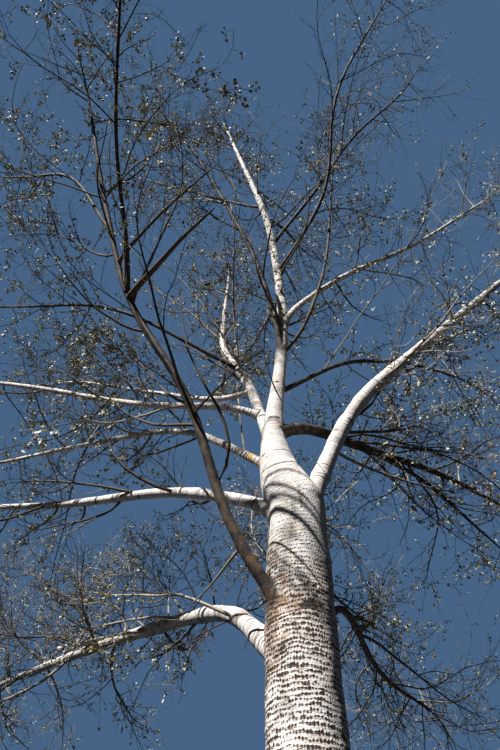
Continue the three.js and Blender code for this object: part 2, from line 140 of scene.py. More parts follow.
# name, parent, place on the parent, length, bare length, base and tip diameters,
# twigs of the mass, their reach, headings and rises in degrees
BOUGHS = [
    ("leader", "trunk", 4.0, 9.4, 7.7, 0.11, 0.034, 10, 1.25,
     [172, 173, 176, 179, 180], [67, 97, 88, 81, 81]),
    ("right_fork", "trunk", 3.6, 7.4, 5.0, 0.135, 0.028, 11, 1.5,
     [7, 15, 9, 5, 5], [80, 68, 50, 49, 48]),
    ("left_low", "trunk", 2.83, 6.2, 4.0, 0.132, 0.02, 11, 1.4,
     [146, 110, 134, 138, 139], [60, 41, 12, 6, 0]),
    ("left_fork", "trunk", 3.75, 5.9, 3.6, 0.095, 0.02, 11, 1.35,
     [170, 144, 148, 158, 161], [65, 34, 18, 17, 17]),
    ("left_mid", "leader", 0.3, 5.4, 3.2, 0.062, 0.018, 10, 1.25,
     [160, 152, 148, 153, 159], [50, 46, 20, 13, 14]),
    ("left_leader", "leader", 0.6, 5.8, 4.0, 0.085, 0.018, 10, 1.2,
     [154, 142, 128, 96, 88, 96], [72, 77, 65, 73, 79, 83]),
    ("left_high", "left_leader", 0.4, 5.2, 3.1, 0.06, 0.018, 10, 1.15,
     [179, 163, 167, 166, 166], [31, 19, 27, 23, 22]),
    ("left_upper", "left_leader", 0.8, 4.6, 2.8, 0.047, 0.018, 10, 1.15,
     [142, 147, 147, 145], [17, 39, 40, 29]),
    ("left_crown", "left_leader", 1.3, 4.2, 2.4, 0.036, 0.018, 10, 1.15,
     [192, 192, 161, 163], [32, 30, 26, 30]),
    ("front_left", "trunk", 3.1, 6.4, 4.5, 0.071, 0.022, 9, 1.25,
     [198, 201, 221, 202, 231, 241, 236], [52, 56, 68, 56, 65, 63, 59]),
    ("front_side", "front_left", 2.9, 3.5, 1.6, 0.036, 0.018, 10, 1.15,
     [274, 260, 273, 274], [44, 39, 38, 37]),
    ("front_far", "front_left", 3.6, 3.2, 1.5, 0.032, 0.018, 9, 1.1,
     [207, 197, 157, 168], [57, 62, 43, 40]),
    ("front_high", "leader", 1.75, 5.2, 3.5, 0.052, 0.018, 10, 1.2,
     [255, 233, 212, 210, 193], [74, 73, 67, 65, 54]),
    ("front_right", "leader", 1.75, 4.2, 2.6, 0.035, 0.018, 10, 1.1,
     [-12, -23, -51, -60], [49, 72, 79, 74]),
    ("right_back", "leader", 0.7, 6.4, 4.0, 0.09, 0.02, 9, 1.35,
     [25, 48, 45, 47, 46], [48, 26, 25, 20, 18]),
    ("right_back_low", "right_back", 1.0, 4.8, 2.8, 0.052, 0.018, 9, 1.15,
     [43, 48, 52, 49], [23, 20, 11, 8]),
    ("right_low", "trunk", 2.85, 5.4, 3.3, 0.055, 0.018, 10, 1.3,
     [50, 67, 71, 59, 68], [64, 46, 3, 10, 1]),
    ("right_mid", "leader", 1.2, 5.2, 3.1, 0.042, 0.018, 10, 1.2,
     [25, 26, 34, 38, 46], [49, 50, 36, 28, 17]),
    ("right_high", "leader", 2.2, 5.8, 3.8, 0.066, 0.018, 9, 1.3,
     [-6, 7, 8, -1, -1], [70, 54, 45, 48, 47]),
    ("top_right", "leader", 4.0, 4.8, 3.0, 0.044, 0.018, 10, 1.15,
     [-27, -28, -36, -19, -43], [59, 54, 55, 49, 59]),
    ("top_front", "leader", 3.3, 5.2, 3.3, 0.042, 0.018, 10, 1.15,
     [-38, -46, -82, -47, -44], [44, 45, 56, 50, 51]),
    ("top_left", "leader", 5.2, 3.8, 2.0, 0.04, 0.018, 10, 1.1,
     [150, 168, 172, 168], [52, 50, 46, 50]),
    ("top_back", "leader", 4.8, 3.8, 2.0, 0.04, 0.018, 10, 1.1,
     [60, 62, 68, 62], [60, 55, 52, 52]),
    ("back_high", "leader", 2.7, 4.8, 2.8, 0.052, 0.018, 10, 1.25,
     [90, 96, 100, 94], [60, 48, 42, 40]),
    ("back_low", "leader", 0.25, 5.4, 3.2, 0.075, 0.018, 9, 1.35,
     [85, 84, 86, 92], [55, 34, 26, 20]),
]
# Swell at a bough's foot beside its base diameter, and its reach where that is given
SWELLS = {
    "leader": (2.05, 0.54),
    "right_fork": (0.4, 0.3),
    "left_leader": (0.5, None),
    "front_left": (0.3, None),
}

# Side branches that show one by one: limb, place on it, length, base diameter, and
# headings and rises in degrees
BRANCHES = [
    ("trunk", 3.56, 2.99, 0.026, [103, 104, 78], [27, 46, 63]),
    ("front_left", 0.61, 0.67, 0.028, [123, 118, 123], [-6, -7, -5]),
    ("left_low", 3.2, 3.5, 0.034, [152, 141, 137], [61, 36, 36]),
    ("left_low", 1.92, 2.19, 0.022, [157, 152, 134], [21, 4, -7]),
    ("left_low", 4.04, 1.56, 0.03, [86, 92, 100], [5, 2, -13]),
    ("trunk", 3.87, 2.17, 0.02, [64, 67], [41, 16]),
    ("trunk", 3.37, 2.14, 0.022, [58, 64, 50], [39, 17, 8]),
    ("top_right", 1.99, 1.67, 0.02, [264, 276, 300], [8, 7, 3]),
    ("top_right", 1.45, 3.44, 0.022, [0, 345, 17], [21, 34, 37]),
    ("left_leader", 0.85, 2.12, 0.026, [215, 209, 192], [68, 61, 52]),
    ("left_mid", 0.41, 3.75, 0.016, [114, 97, 103], [77, 75, 60]),
    ("right_fork", 1.46, 2.57, 0.026, [21, 17, 14], [40, 68, 69]),
    ("right_fork", 3.77, 0.83, 0.024, [245, 228], [-9, -15]),
    ("right_fork", 4.18, 0.35, 0.026, [328, 329], [-7, -7]),
    ("front_left", 5.12, 0.5, 0.014, [358, 355], [7, 8]),
    ("front_left", 4.06, 1.32, 0.02, [311, 320, 344, 351], [30, 29, 26, 25]),
    ("front_left", 5.87, 0.74, 0.014, [201, 200, 190], [-2, -3, -4]),
    ("front_left", 1.68, 3.14, 0.022, [134, 139, 179], [48, 62, 33]),
    ("left_fork", 1.8, 1.72, 0.03, [173, 164, 154], [26, 21, 19]),
    ("left_fork", 2.86, 1.63, 0.03, [110, 130, 133], [14, 16, 7]),
    ("left_mid", 2.05, 0.97, 0.018, [150, 150, 154], [-15, -15, -14]),
    ("left_high", 0.96, 0.5, 0.016, [138, 143], [-2, 1]),
    ("left_high", 1.33, 1.71, 0.018, [127, 152, 155], [11, 19, 15]),
    ("right_fork", 1.05, 1.98, 0.028, [45, 36, 40], [8, 13, 28]),
    ("right_back", 2.54, 1.55, 0.018, [16, 25, 22], [45, 33, 38]),
    ("right_fork", 1.61, 1.49, 0.016, [44, 28, 30], [16, 26, 18]),
    ("right_fork", 3.78, 1.13, 0.024, [39, 24], [29, 34]),
    ("right_back_low", 1.17, 1.42, 0.018, [71, 67, 49], [13, 13, 5]),
    ("leader", 1.2, 0.6, 0.014, [251, 264], [-15, -12]),
    ("leader", 1.16, 1.03, 0.014, [100, 111], [66, 58]),
    ("leader", 2.13, 2.96, 0.016, [58, 63, 46], [38, 54, 72]),
    ("left_low", 1.93, 1.38, 0.02, [131, 135, 135], [59, 49, 38]),
    ("left_low", 3.18, 4.7, 0.02, [148, 101, 77], [53, 41, 53]),
    ("left_low", 3.18, 1.44, 0.022, [266, 271, 280], [-6, -4, 21]),
    ("right_low", 1.84, 1.73, 0.026, [34, 46, 46, 36], [7, -6, -8, -2]),
    ("right_low", 2.74, 2.12, 0.022, [90, 74, 74], [23, 6, -6]),
    ("right_low", 2.35, 3.06, 0.018, [110, 76, 79], [3, 10, 5]),
    ("front_high", 2.31, 3.6, 0.016, [153, 145, 119], [59, 58, 23]),
    ("front_high", 2.33, 2.48, 0.018, [165, 152, 121], [55, 50, 37]),
    ("front_left", 4.14, 3.14, 0.022, [2, 20, 17], [61, 85, 60]),
    ("front_left", 2.96, 0.72, 0.03, [275, 272, 292], [39, 37, 39]),
    ("front_left", 3.36, 2.7, 0.024, [134, 164, 162], [47, 55, 27]),
    ("front_left", 5.12, 2.62, 0.022, [9, 37, 42], [69, 60, 76]),
    ("left_low", 1.5, 1.1, 0.016, [110, 120, 135], [72, 66, 60]),
    ("left_low", 2.15, 1.25, 0.018, [120, 100, 120], [76, 70, 60]),
    ("left_low", 2.5, 1.2, 0.018, [150, 120, 100], [70, 78, 64]),
    ("left_low", 2.9, 1.15, 0.018, [100, 90, 110], [64, 76, 70]),
    ("left_low", 1.1, 0.75, 0.012, [190, 200, 210], [-25, -35, -30]),
    ("right_back", 0.55, 1.0, 0.016, [80, 100], [55, 62]),
    ("right_back", 0.85, 1.3, 0.018, [60, 80], [70, 58]),
    ("right_back", 1.3, 1.3, 0.018, [40, 62], [65, 54]),
    ("right_low", 1.6, 2.0, 0.016, [60, 66, 70], [40, 32, 25]),
    ("right_back", 1.21, 2.8, 0.022, [31, 51, 49, 42], [-3, -6, 6, 9]),
    ("right_back", 0.97, 3.19, 0.022, [7, 34, 38, 44], [33, 17, 29, 25]),
]

# Branches that stay bare; their shadows lie across the stem below its fork
BARE_BRANCHES = [
    ("front_left", 3.25, 1.24, 0.036, [307, 313, 321], [-12, -8, -2]),
    ("front_left", 2.85, 1.22, 0.06, [305, 310, 317], [-19, -15, -9]),
    ("front_left", 1.6, 0.95, 0.02, [294, 300, 308], [-20, -16, -10]),
]

# Twigs of a mass: side twigs wind up the stem, and each carries a finer one
STEM_POINTS = 6
STEM_START = 0.04
JOINT_GAP = 0.0003
TWIG = {
    "place_start": 0.35,
    "place_play": 0.3,
    "spread_low": 62,
    "spread_high": 36,
    "spread_play": 18,
    "shorter": 0.42,
    "length_low": 0.78,
    "length_play": 0.44,
    "bends": [0.35, 0.35, 0.3],
    "lift": 0.42,
    "share": 0.48,
    "taper": 0.5,
    "probes": 8,
    "fine_at": 0.34,
    "fine_length": 0.5,
    "fine_low": 0.8,
    "fine_play": 0.4,
    "fine_spread": 48,
    "fine_probes": 5,
}
FIRST_SEED = 101
UPRIGHT = 0.2
SPACE_MARGIN = 0.045
LIMB_MARGIN = 0.012
PROBE_SPACING = 0.25


def linear(hex_colour):
    """An sRGB hex colour as linear red, green and blue."""
    values = np.array([int(hex_colour[i : i + 2], 16) for i in (0, 2, 4)]) / 255
    curved = ((values + 0.055) / 1.055) ** 2.4
    return tuple(float(x) for x in np.where(values <= 0.04045, values / 12.92, curved))


def smooth(low, high, x):
    """0 below low, 1 above high, and 3t^2 - 2t^3 between."""
    t = np.clip((np.asarray(x, float) - low) / (high - low), 0, 1)
    return t * t * (3 - 2 * t)


def bell(x, width):
    """exp(-(x / width)^2): 1 at 0, and near nothing past twice the width."""
    return np.exp(-((x / width) ** 2))


def unit(vectors):
    """Vectors divided by their lengths."""
    return vectors / np.maximum(np.linalg.norm(vectors, axis=-1, keepdims=True), TINY)


def heading(heading_degrees, rise_degrees):
    """Unit vectors (cos r cos h, cos r sin h, sin r)."""
    turn, rise = np.radians(heading_degrees), np.radians(rise_degrees)
    return np.stack([np.cos(rise) * np.cos(turn), np.cos(rise) * np.sin(turn), np.sin(rise)], axis=-1)


def station(values, fraction):
    """A list of stations read at a fraction of the length, eased between two stations."""
    place = np.clip(fraction, 0, 1) ** (1 / STATION_POWER) * (len(values) - 1)
    low = np.minimum(np.floor(place).astype(int), len(values) - 2)
    ease = smooth(0, 1, place - low)
    values = np.asarray(values, float)
    return values[low] + (values[low + 1] - values[low]) * ease


class MiddleLine:
    """A line of points, read by the distance along it."""

    def __init__(self, points):
        self.points = np.asarray(points, float)
        steps = np.linalg.norm(np.diff(self.points, axis=0), axis=1)
        self.along = np.concatenate([[0.0], np.cumsum(steps)])
        self.length = float(self.along[-1])

    def at(self, distance):
        """Points at distances along the line."""
        return np.stack([np.interp(distance, self.along, self.points[:, i]) for i in range(3)], axis=-1)

    def direction(self, distance):
        """Unit vectors from a step before each distance to a step past it."""
        distance = np.asarray(distance, float)
        return unit(self.at(distance + DIRECTION_STEP) - self.at(distance - DIRECTION_STEP))

    def part(self, start, end, steps):
        """The stretch from start to end, cut in equal steps."""
        return MiddleLine(self.at(start + (end - start) * np.arange(steps + 1) / steps))


def grow_line(start, length, headings, rises):
    """The start plus the running sum of equal steps along the stations' directions."""
    fraction = (np.arange(PATH_STEPS) + 0.5) / PATH_STEPS
    steps = heading(station(headings, fraction), station(rises, fraction)) * length / PATH_STEPS
    return MiddleLine(start + np.concatenate([np.zeros((1, 3)), np.cumsum(steps, axis=0)]))


def trunk_radius(distance):
    """Half of a straight taper plus a root flare that fades with height."""
    taper = TRUNK["base"] + (TRUNK["tip"] - TRUNK["base"]) * distance / TRUNK["length"]
    return 0.5 * (taper + TRUNK["flare"] * np.exp(-np.maximum(distance, 0) / TRUNK["flare_height"]))


def trunk_lobe(distance, angle):
    """1 plus a cosine of the root lobes, which fades with height."""
    depth = TRUNK["lobe_depth"] * np.exp(-np.maximum(distance, 0) / TRUNK["lobe_height"])
    return 1 + depth * np.cos(TRUNK["lobes"] * angle + TRUNK["lobe_turn"])


class Limb:
    """A bough: its middle line, and its radius at each distance along it."""

    def __init__(self, row, limbs):
        (self.name, self.parent, self.at, length, self.bare, self.base, self.tip,
         self.twigs, self.reach, headings, rises) = row
        parent = limbs[self.parent]
        swell, reach = SWELLS.get(self.name, (BOUGH_SWELL, None))
        self.swell = swell
        self.swell_reach = reach or float(parent.radius(self.at)) + COLLAR_REACH * self.base
        self.line = grow_line(parent.line.at(self.at), length, headings, rises)
        self.length = length
        self.solid_to = self.bare

    def radius(self, distance):
        """Half of a tapering diameter plus a collar that fades away from the foot."""
        distance = np.asarray(distance, float)
        left = np.maximum(1 - distance / self.length, 0) ** TAPER_POWER
        collar = self.swell * self.base * np.exp(-((distance / self.swell_reach) ** COLLAR_POWER))
        return 0.5 * (self.tip + (self.base - self.tip) * left + collar)


class TrunkLimb:
    """The trunk as a limb."""

    name = "trunk"

    def __init__(self):
        self.line = grow_line(np.zeros(3), TRUNK["length"], TRUNK["headings"], TRUNK["rises"])
        self.length = self.solid_to = TRUNK["length"]

    def radius(self, distance):
        """The trunk's radius without its lobes."""
        return trunk_radius(np.asarray(distance, float))


class StemLimb:
    """Trunk and leader as one limb, so that what grows near the fork flows into both."""

    name = "stem"

    def __init__(self, trunk, leader):
        self.trunk, self.leader = trunk, leader
        self.line = MiddleLine(np.concatenate([trunk.line.points, leader.line.points[1:]]))
        self.length = self.line.length

    def radius(self, distance):
        """The trunk's radius up to its end, and the leader's above."""
        distance = np.asarray(distance, float)
        above = self.leader.radius(np.maximum(distance - self.trunk.length, 0))
        return np.where(distance < self.trunk.length, self.trunk.radius(distance), above)


LIMBS = {"trunk": TrunkLimb()}
for row in BOUGHS:
    LIMBS[row[0]] = Limb(row, LIMBS)
STEM = StemLimb(LIMBS["trunk"], LIMBS["leader"])


def surface_of(name, at):
    """The limb whose surface a bough leaves, and the place on it."""
    if name == "trunk":
        return STEM, at
    if name == "leader":
        return STEM, at + TRUNK["length"]
    return LIMBS[name], at


def by_bough(table, otherwise, bough):
    """A table's value for each bough number, and another value for boughs it leaves out."""
    return np.array([table.get(row[0], otherwise) for row in BOUGHS])[bough]


# Settings

# Heading and rise of the key light in degrees
KEY_FROM = (229, 51)


def colour(name, description, hex_colour):
    """A colour setting with its default as sRGB hex."""
    return bpy.props.FloatVectorProperty(
        name=name, description=description, subtype="COLOR", size=3, min=0, max=1, default=linear(hex_colour)
    )


def metres(name, description, default):
    """A length setting."""
    return bpy.props.FloatProperty(name=name, description=description, default=default, min=0, unit="LENGTH")


def degrees(name, description, default):
    """An angle setting with its default in degrees."""
    return bpy.props.FloatProperty(
        name=name, description=description, subtype="ANGLE", default=math.radians(default)
    )


class PoplarBark(bpy.types.PropertyGroup):
    """Colours of the bark, and the size of its rows of pores"""

    white: colour("White bark", "Chalky bark of the trunk and thick boughs", "F0EDEA")
    cream: colour("Cream bark", "Warmer patches between the white ones", "E4D3C6")
    weathered: colour("Weathered bark", "Grey bark between the pores of the old trunk", "A3978C")
    pore: colour("Pores", "Dark diamond-shaped pores", "33241E")
    rim: colour("Pore rims", "Reddish cork round the pores", "96705B")
    # Also the colour of the painted shade in creases and where boughs meet
    dark_bark_and_shade: colour("Furrows", "Dark bark in collars, scars and furrows", "2E251F")
    tan: colour("Tan bark", "Scaly brown bark round the branch collars", "866B50")
    # Dark partly as painted shade: thin boughs are seen from their shaded undersides
    young: colour("Young bark", "Bark of the thin boughs", "2C241F")
    young_light: colour("Young bark, light", "Paler skin on the thin boughs", "6E6358")
    lichen: colour("Lichen", "Yellow lichen at old collars", "D2A83C")
    pores_round: bpy.props.IntProperty(
        name="Pores round", description="Pores in a row round a limb", default=70, min=8
    )
    row_spacing: metres("Row spacing", "Distance between rows of pores", 0.027)


class PoplarCrown(bpy.types.PropertyGroup):
    """Colours of twigs and leaves, and how close together they grow"""

    twig_dark: colour("Dark twigs", "Older twigs", "332C25")
    twig_light: colour("Light twigs", "Branches with a grey skin", "4C4339")
    twig_pale: colour("Pale twigs", "Young twigs with white wool", "A59C8E")
    leaf_olive: colour("Olive leaves", "Most leaves", "A5A581")
    leaf_yellow: colour("Yellow leaves", "Leaves that are turning", "B9B07C")
    leaf_brown: colour("Brown leaves", "Leaves that are nearly over", "8C7352")
    leaf_silver: colour("Silver leaves", "Leaves that show their woolly underside", "D2D3C4")
    leaf_length: metres("Leaf length", "Length of a leaf blade", 0.031)
    branch_spacing: metres("Branch spacing", "Distance between branches along a bough", 0.42)
    twig_spacing: metres("Twig spacing", "Distance between twigs along a branch", 0.118)
    shoot_spacing: metres("Shoot spacing", "Distance between leafy shoots along a twig", 0.085)


class PoplarStage(bpy.types.PropertyGroup):
    """Floor, backdrop, light and camera"""

    floor: colour("Floor", "Plain pale floor", "8A867F")
    backdrop: colour("Backdrop", "Plain backdrop", "476486")
    fill: colour("Fill", "Soft light from all round", "2A3038")
    eye: bpy.props.FloatVectorProperty(
        name="Eye", description="Where the camera stands", subtype="TRANSLATION", size=3,
        default=(-0.28, -3.0, 1.5),
    )
    pitch: degrees("Pitch", "Camera angle above level", 52.5)
    lens: bpy.props.FloatProperty(name="Lens", description="Focal length in millimetres", default=28, min=1)
    sun_heading: degrees("Key heading", "Where the key light stands, from +X towards +Y", KEY_FROM[0])
    sun_rise: degrees("Key rise", "Height of the key light above level", KEY_FROM[1])


# Meshes and bark shapes


def linked(name, data):
    """An object for a mesh, a light or a camera, in the scene."""
    made = bpy.data.objects.new(name, data)
    bpy.context.scene.collection.objects.link(made)
    return made


def make_piece(name, points, quads, triangles, material, slot, attributes=None, shaded=True):
    """A mesh object from arrays, riding on the tree, with its material. The slot argument is not used."""
    mesh = bpy.data.meshes.new(name)
    loops = np.concatenate([np.ravel(quads), np.ravel(triangles)]).astype(np.int32)
    starts = np.concatenate([
        np.arange(len(quads)) * 4,
        len(quads) * 4 + np.arange(len(triangles)) * 3,
    ]).astype(np.int32)
    mesh.vertices.add(len(points))
    mesh.loops.add(len(loops))
    mesh.polygons.add(len(starts))
    mesh.vertices.foreach_set("co", np.asarray(points, np.float32).ravel())
    mesh.loops.foreach_set("vertex_index", loops)
    mesh.polygons.foreach_set("loop_start", starts)
    mesh.update(calc_edges=True)
    if shaded:
        mesh.shade_smooth()
    for title, values in (attributes or {}).items():
        attribute = mesh.attributes.new(title, "FLOAT_VECTOR", "POINT")
        attribute.data.foreach_set("vector", np.asarray(values, np.float32).ravel())
    mesh.materials.append(material)
    piece = linked(name, mesh)
    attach(piece, "root")
    return piece


HASH_PRIMES = np.array([73856093, 19349663, 83492791])
HASH_SEED_PRIME = 7919
HASH_MIX = 1274126177
LOW_32_BITS = 0xFFFFFFFF


def rough(points, seed):
    """Value noise from -1 to 1: hashed values at whole-number corners, eased between."""
    cell = np.floor(points).astype(np.int64)
    part = points - cell
    part = part * part * (3 - 2 * part)
    total = np.zeros(points.shape[:-1])
    for corner in np.ndindex(2, 2, 2):
        key = cell + np.array(corner)
        mixed = np.bitwise_xor.reduce(key * HASH_PRIMES, axis=-1) ^ seed * HASH_SEED_PRIME
        mixed = ((mixed ^ (mixed >> 13)) * HASH_MIX) & LOW_32_BITS
        value = ((mixed ^ (mixed >> 16)) & 0xFFFF) / 32767.5 - 1
        total += value * np.prod(np.where(corner, part, 1 - part), axis=-1)
    return total


def segment_gaps(points, starts, ends, start_radii, end_radii):
    """For every point, the least distance to the surface of tapering segments."""
    along = ends - starts
    square = np.maximum((along**2).sum(-1), TINY)
    best = np.full(len(points), np.inf)
    for i in range(len(starts)):
        t = np.clip((points - starts[i]) @ along[i] / square[i], 0, 1)
        axis = starts[i] + t[:, None] * along[i]
        radius = start_radii[i] + (end_radii[i] - start_radii[i]) * t
        best = np.minimum(best, np.linalg.norm(points - axis, axis=1) - radius)
    return best


SURFACE_STEP = 0.05
SURFACE_REACH = 0.9
FAR_OFF = 9.0
SUNK = 0.005
BLEND_ROUNDS = 14


def surface_gap(points, limb, at):
    """Distance of points from a limb's surface near one place on it."""
    low, high = max(at - SURFACE_REACH, 0.0), min(at + SURFACE_REACH, limb.length)
    distance = np.linspace(low, high, int((high - low) / SURFACE_STEP) + 2)
    centres, radii = limb.line.at(distance), limb.radius(distance)
    flat = points.reshape(-1, 3)
    gaps = segment_gaps(flat, centres[:-1], centres[1:], radii[:-1], radii[1:])
    return gaps.reshape(points.shape[:-1])


def flow_into(limb, at, centres, outward, radius, blend):
    """The radius at which the smooth minimum of two surface distances is zero, by halving:
    min(a, b) - h^2 k / 4, with h = 1 - |a - b| / k, so that a bough flares on to its parent."""
    low, high = radius.copy(), radius + blend
    for _ in range(BLEND_ROUNDS):
        middle = (low + high) / 2
        own = middle - radius
        gap = surface_gap(centres + outward * middle[..., None], limb, at) + SUNK
        near = np.clip(1 - np.abs(own - gap) / blend, 0, 1)
        field = np.minimum(own, gap) - near * near * blend / 4
        low, high = np.where(field < 0, middle, low), np.where(field < 0, high, middle)
    return (low + high) / 2


def frames_along(line, distance, reference):
    """Centres and two unit normals of rings: the reference turned square to the line,
    and its cross product with the line's direction."""
    centres, aim = line.at(distance), line.direction(distance)
    first = unit(reference - (aim @ reference)[:, None] * aim)
    return centres, first, np.cross(aim, first)


def ring_faces(rows, around):
    """Quads of a grid that closes round, facing outwards."""
    i, j = np.meshgrid(np.arange(rows - 1), np.arange(around), indexing="ij")
    k = (j + 1) % around
    corners = [i * around + j, i * around + k, (i + 1) * around + k, (i + 1) * around + j]
    return np.stack(corners, axis=-1).reshape(-1, 4)


def end_fans(rows, around, first_hub, last_hub):
    """Triangles that close the first and last ring on to a hub vertex each."""
    j = np.arange(around)
    k = (j + 1) % around
    top = (rows - 1) * around
    low = np.stack([np.full(around, first_hub), k, j], axis=-1)
    high = np.stack([np.full(around, last_hub), top + j, top + k], axis=-1)
    return np.concatenate([low, high])


def with_hubs(grid):
    """A grid's values in a row, then the middle of its first ring and of its last."""
    return np.concatenate([grid.reshape(-1, 3), grid[0].mean(0)[None], grid[-1].mean(0)[None]])


def closed_tube(name, rings, place, signs, material, slot):
    """A bark tube from a grid of rings, closed at both ends with a hub."""
    rows, around = rings.shape[:2]
    fans = end_fans(rows, around, rows * around, rows * around + 1)
    attributes = {"bark_place": with_hubs(place), "bark_signs": with_hubs(signs)}
    return make_piece(name, with_hubs(rings), ring_faces(rows, around), fans, material, slot, attributes)


def ring_angles(around):
    """Angles of evenly spaced points round a ring."""
    return 2 * np.pi * np.arange(around) / around


def ring_grid(line, distance, around, reference):
    """Centres of the rings at some distances along a line, and for each point on them the
    outward direction, cos a first + sin a second, the distance and the angle a."""
    centres, first, second = frames_along(line, distance, reference)
    angle = ring_angles(around)[None, :] + 0 * distance[:, None]
    outward = np.cos(angle)[..., None] * first[:, None] + np.sin(angle)[..., None] * second[:, None]
    return centres[:, None], outward, distance[:, None] + 0 * angle, angle


def straight_place(distance, angle, radius):
    """A limb straightened: (r cos a, r sin a, distance), so that a pattern has no seam."""
    return np.stack([radius * np.cos(angle), radius * np.sin(angle), distance + 0 * angle], axis=-1)


# Swells and lumps of bark: cell and height beside the limb's size, and noise seed
LUMPS = [(1.3, 0.035, 1), (0.42, 0.013, 2)]
# Fine folds, full on limbs of at least this size
FOLD_CELL = np.array([0.11, 0.11, 0.011])
FOLD_HEIGHT = 0.0035
FOLD_FULL_SIZE = 0.2


def wrinkles(place, size):
    """Relief in metres: broad swells, lumps and fine folds that run round the limb."""
    lumps = sum(rough(place / (cell * size), seed) * height * size for cell, height, seed in LUMPS)
    return lumps + rough(place / FOLD_CELL, 3) * FOLD_HEIGHT * min(size, FOLD_FULL_SIZE)


# Trunk and leader

TRUNK_ROWS = 560
TRUNK_AROUND = 152
LEADER_ROWS = 330
LEADER_AROUND = 56
LEADER_CROWDING = 1.2
# The trunk's bark runs up past the fork to here, and the leader's starts a lap below
JOIN_AT = 4.44
JOIN_LAP = 0.05
STEM_SIZE = 0.17
FULL_RELIEF_RADIUS = 0.15
LEAST_RELIEF = 0.2

# The stem's bark is old below the first height and young above the second
OLD_BELOW = 2.9
YOUNG_ABOVE = 4.1
AGE_LOST = 0.84
# How far the line between old and young wanders, and the size of its bays
AGE_WANDER = 0.25
AGE_CELL = 0.3
# Furrows of the foot: the heights between which they fade, their cells and their depth
FOOT_FADES = (0.1, 1.5)
FURROW_CELL = np.array([0.045, 0.045, 0.35])
FURROW_DEPTH = 0.012
FURROW_DARK = (0.6, 0.95)
FURROW_EDGE = (0.72, 0.98)
# Collars: how far up and down they are looked for, height of the swelling on a bough
# that is as thick as the second number, and spacing and height of the folds round it
COLLAR_ZONE = 1.0
COLLAR_HEIGHT = 0.014
COLLAR_BASE = 0.1
COLLAR_FOLDS = 0.011
COLLAR_FOLD_HEIGHT = 0.0015
# Painted shade where a bough meets the stem, partly dark collar bark
COLLAR_BARK_AND_SHADE = 0.55
# Shares of a collar's reach: where the folds lie and how wide they and the painted shade at the joint spread
FOLDS_AT = 0.5
FOLDS_WIDE = 0.4
DARK_AND_SHADE_WIDE = 0.2
# A bough's foot: where its girth is read, the middle of the stretch that gaps are measured
# from, and the places on the bough and up the stem that give the side it leaves on
GIRTH_AT = 0.1
GAPS_ABOUT = 0.5
SIDE_AT = 0.7
SIDE_ABOVE = 0.35
# A collar reaches this many of the bough's radii, and some metres, from its surface
COLLAR_RADII = 3.2
COLLAR_BEYOND = 0.05
COLLAR_FACING = (-0.2, 0.6)
# How tan the stem's bark is round the foot of a bough
TAN_COLLARS = {"left_low": 0.7, "front_left": 1.0}
# Scars on the stem: distance up, angle, half width, half height, depth, darkness, tan
SCARS = [
    (3.2, math.radians(-80), 0.062, 0.034, 0.0022, 0.6, 1.0),
    (3.31, math.radians(-74), 0.036, 0.03, 0.004, 0.4, 1.0),
    (3.97, math.radians(-85), 0.01, 0.07, 0.003, 0.25, 0.9),
    (2.3, math.radians(-120), 0.02, 0.016, 0.003, 0.4, 0.4),
]
# How ragged a scar's edge is and how finely, and its parts in half widths from its
# middle: where the sunk part ends, how wide the raised edge is and where the tan ends
SCAR_RAGGED = 0.5
SCAR_CELL = 0.016
SCAR_SUNK = (0.7, 1.05)
SCAR_EDGE = 0.25
SCAR_TAN = (0.9, 1.9)
# Creases that run round the stem: distance up, depth and the angle each is deepest at
CREASES = [
    (4.31, 0.005, math.radians(-100)),
    (4.46, 0.005, math.radians(-88)),
    (4.86, 0.003, math.radians(-100)),
    (5.3, 0.002, math.radians(-60)),
    (6.1, 0.002, math.radians(-110)),
]
CREASE_WIDTH = 0.03
# How far a crease wobbles, how much lower it lies at its deepest angle, and what is left
# of it on the far side
CREASE_WOBBLE = 0.012
CREASE_TILT = 0.02
CREASE_LEAST = 0.35
# The slit in a crease: its depth beside the crease's, its width, and how dark and how
# wide the painted shade in it is
SLIT_DEPTH = 1.6
SLIT_WIDTH = 0.008
SLIT_SHADE = 0.9
SLIT_SHADE_WIDTH = 0.0045


def foot_signs(place, distance):
    """Darkness, tan and relief of the furrows that run up the foot: ridges of noise."""
    foot = 1 - smooth(*FOOT_FADES, distance)
    furrows = 1 - np.abs(rough(place / FURROW_CELL, 5))
    return foot * smooth(*FURROW_DARK, furrows), 0, -FURROW_DEPTH * foot * smooth(*FURROW_EDGE, furrows)


def collar_signs(points, outward, distance):
    """Darkness, tan and relief round the foot of each bough: bells of the distance from
    the bough, with sine folds round it, on the side that faces it. The darkness is painted
    shade where the bough meets the stem, partly dark collar bark."""
    dark, tan, relief = np.zeros((3, *distance.shape))
    for row in BOUGHS[1:]:
        limb = LIMBS[row[0]]
        surface, at = surface_of(limb.parent, limb.at)
        if surface is not STEM:
            continue
        reach = COLLAR_RADII * float(limb.radius(GIRTH_AT)) + COLLAR_BEYOND
        close = np.abs(distance - at) < COLLAR_ZONE
        gap = np.full(distance.shape, FAR_OFF)
        gap[close] = surface_gap(points[close], limb, GAPS_ABOUT)
        aim = unit(limb.line.at(SIDE_AT) - STEM.line.at(at + SIDE_ABOVE))
        facing = smooth(*COLLAR_FACING, outward @ aim)
        collar = bell(np.maximum(gap, 0), reach) * facing
        ring = bell(gap - FOLDS_AT * reach, FOLDS_WIDE * reach)
        folds = np.sin(gap / COLLAR_FOLDS) * ring * facing
        relief += COLLAR_HEIGHT * collar * limb.base / COLLAR_BASE + COLLAR_FOLD_HEIGHT * folds
        # Painted shade in the joint, partly dark collar bark
        dark += COLLAR_BARK_AND_SHADE * bell(np.maximum(gap, 0), DARK_AND_SHADE_WIDE * reach) * facing
        tan += TAN_COLLARS.get(limb.name, 0) * collar
    return dark, tan, relief


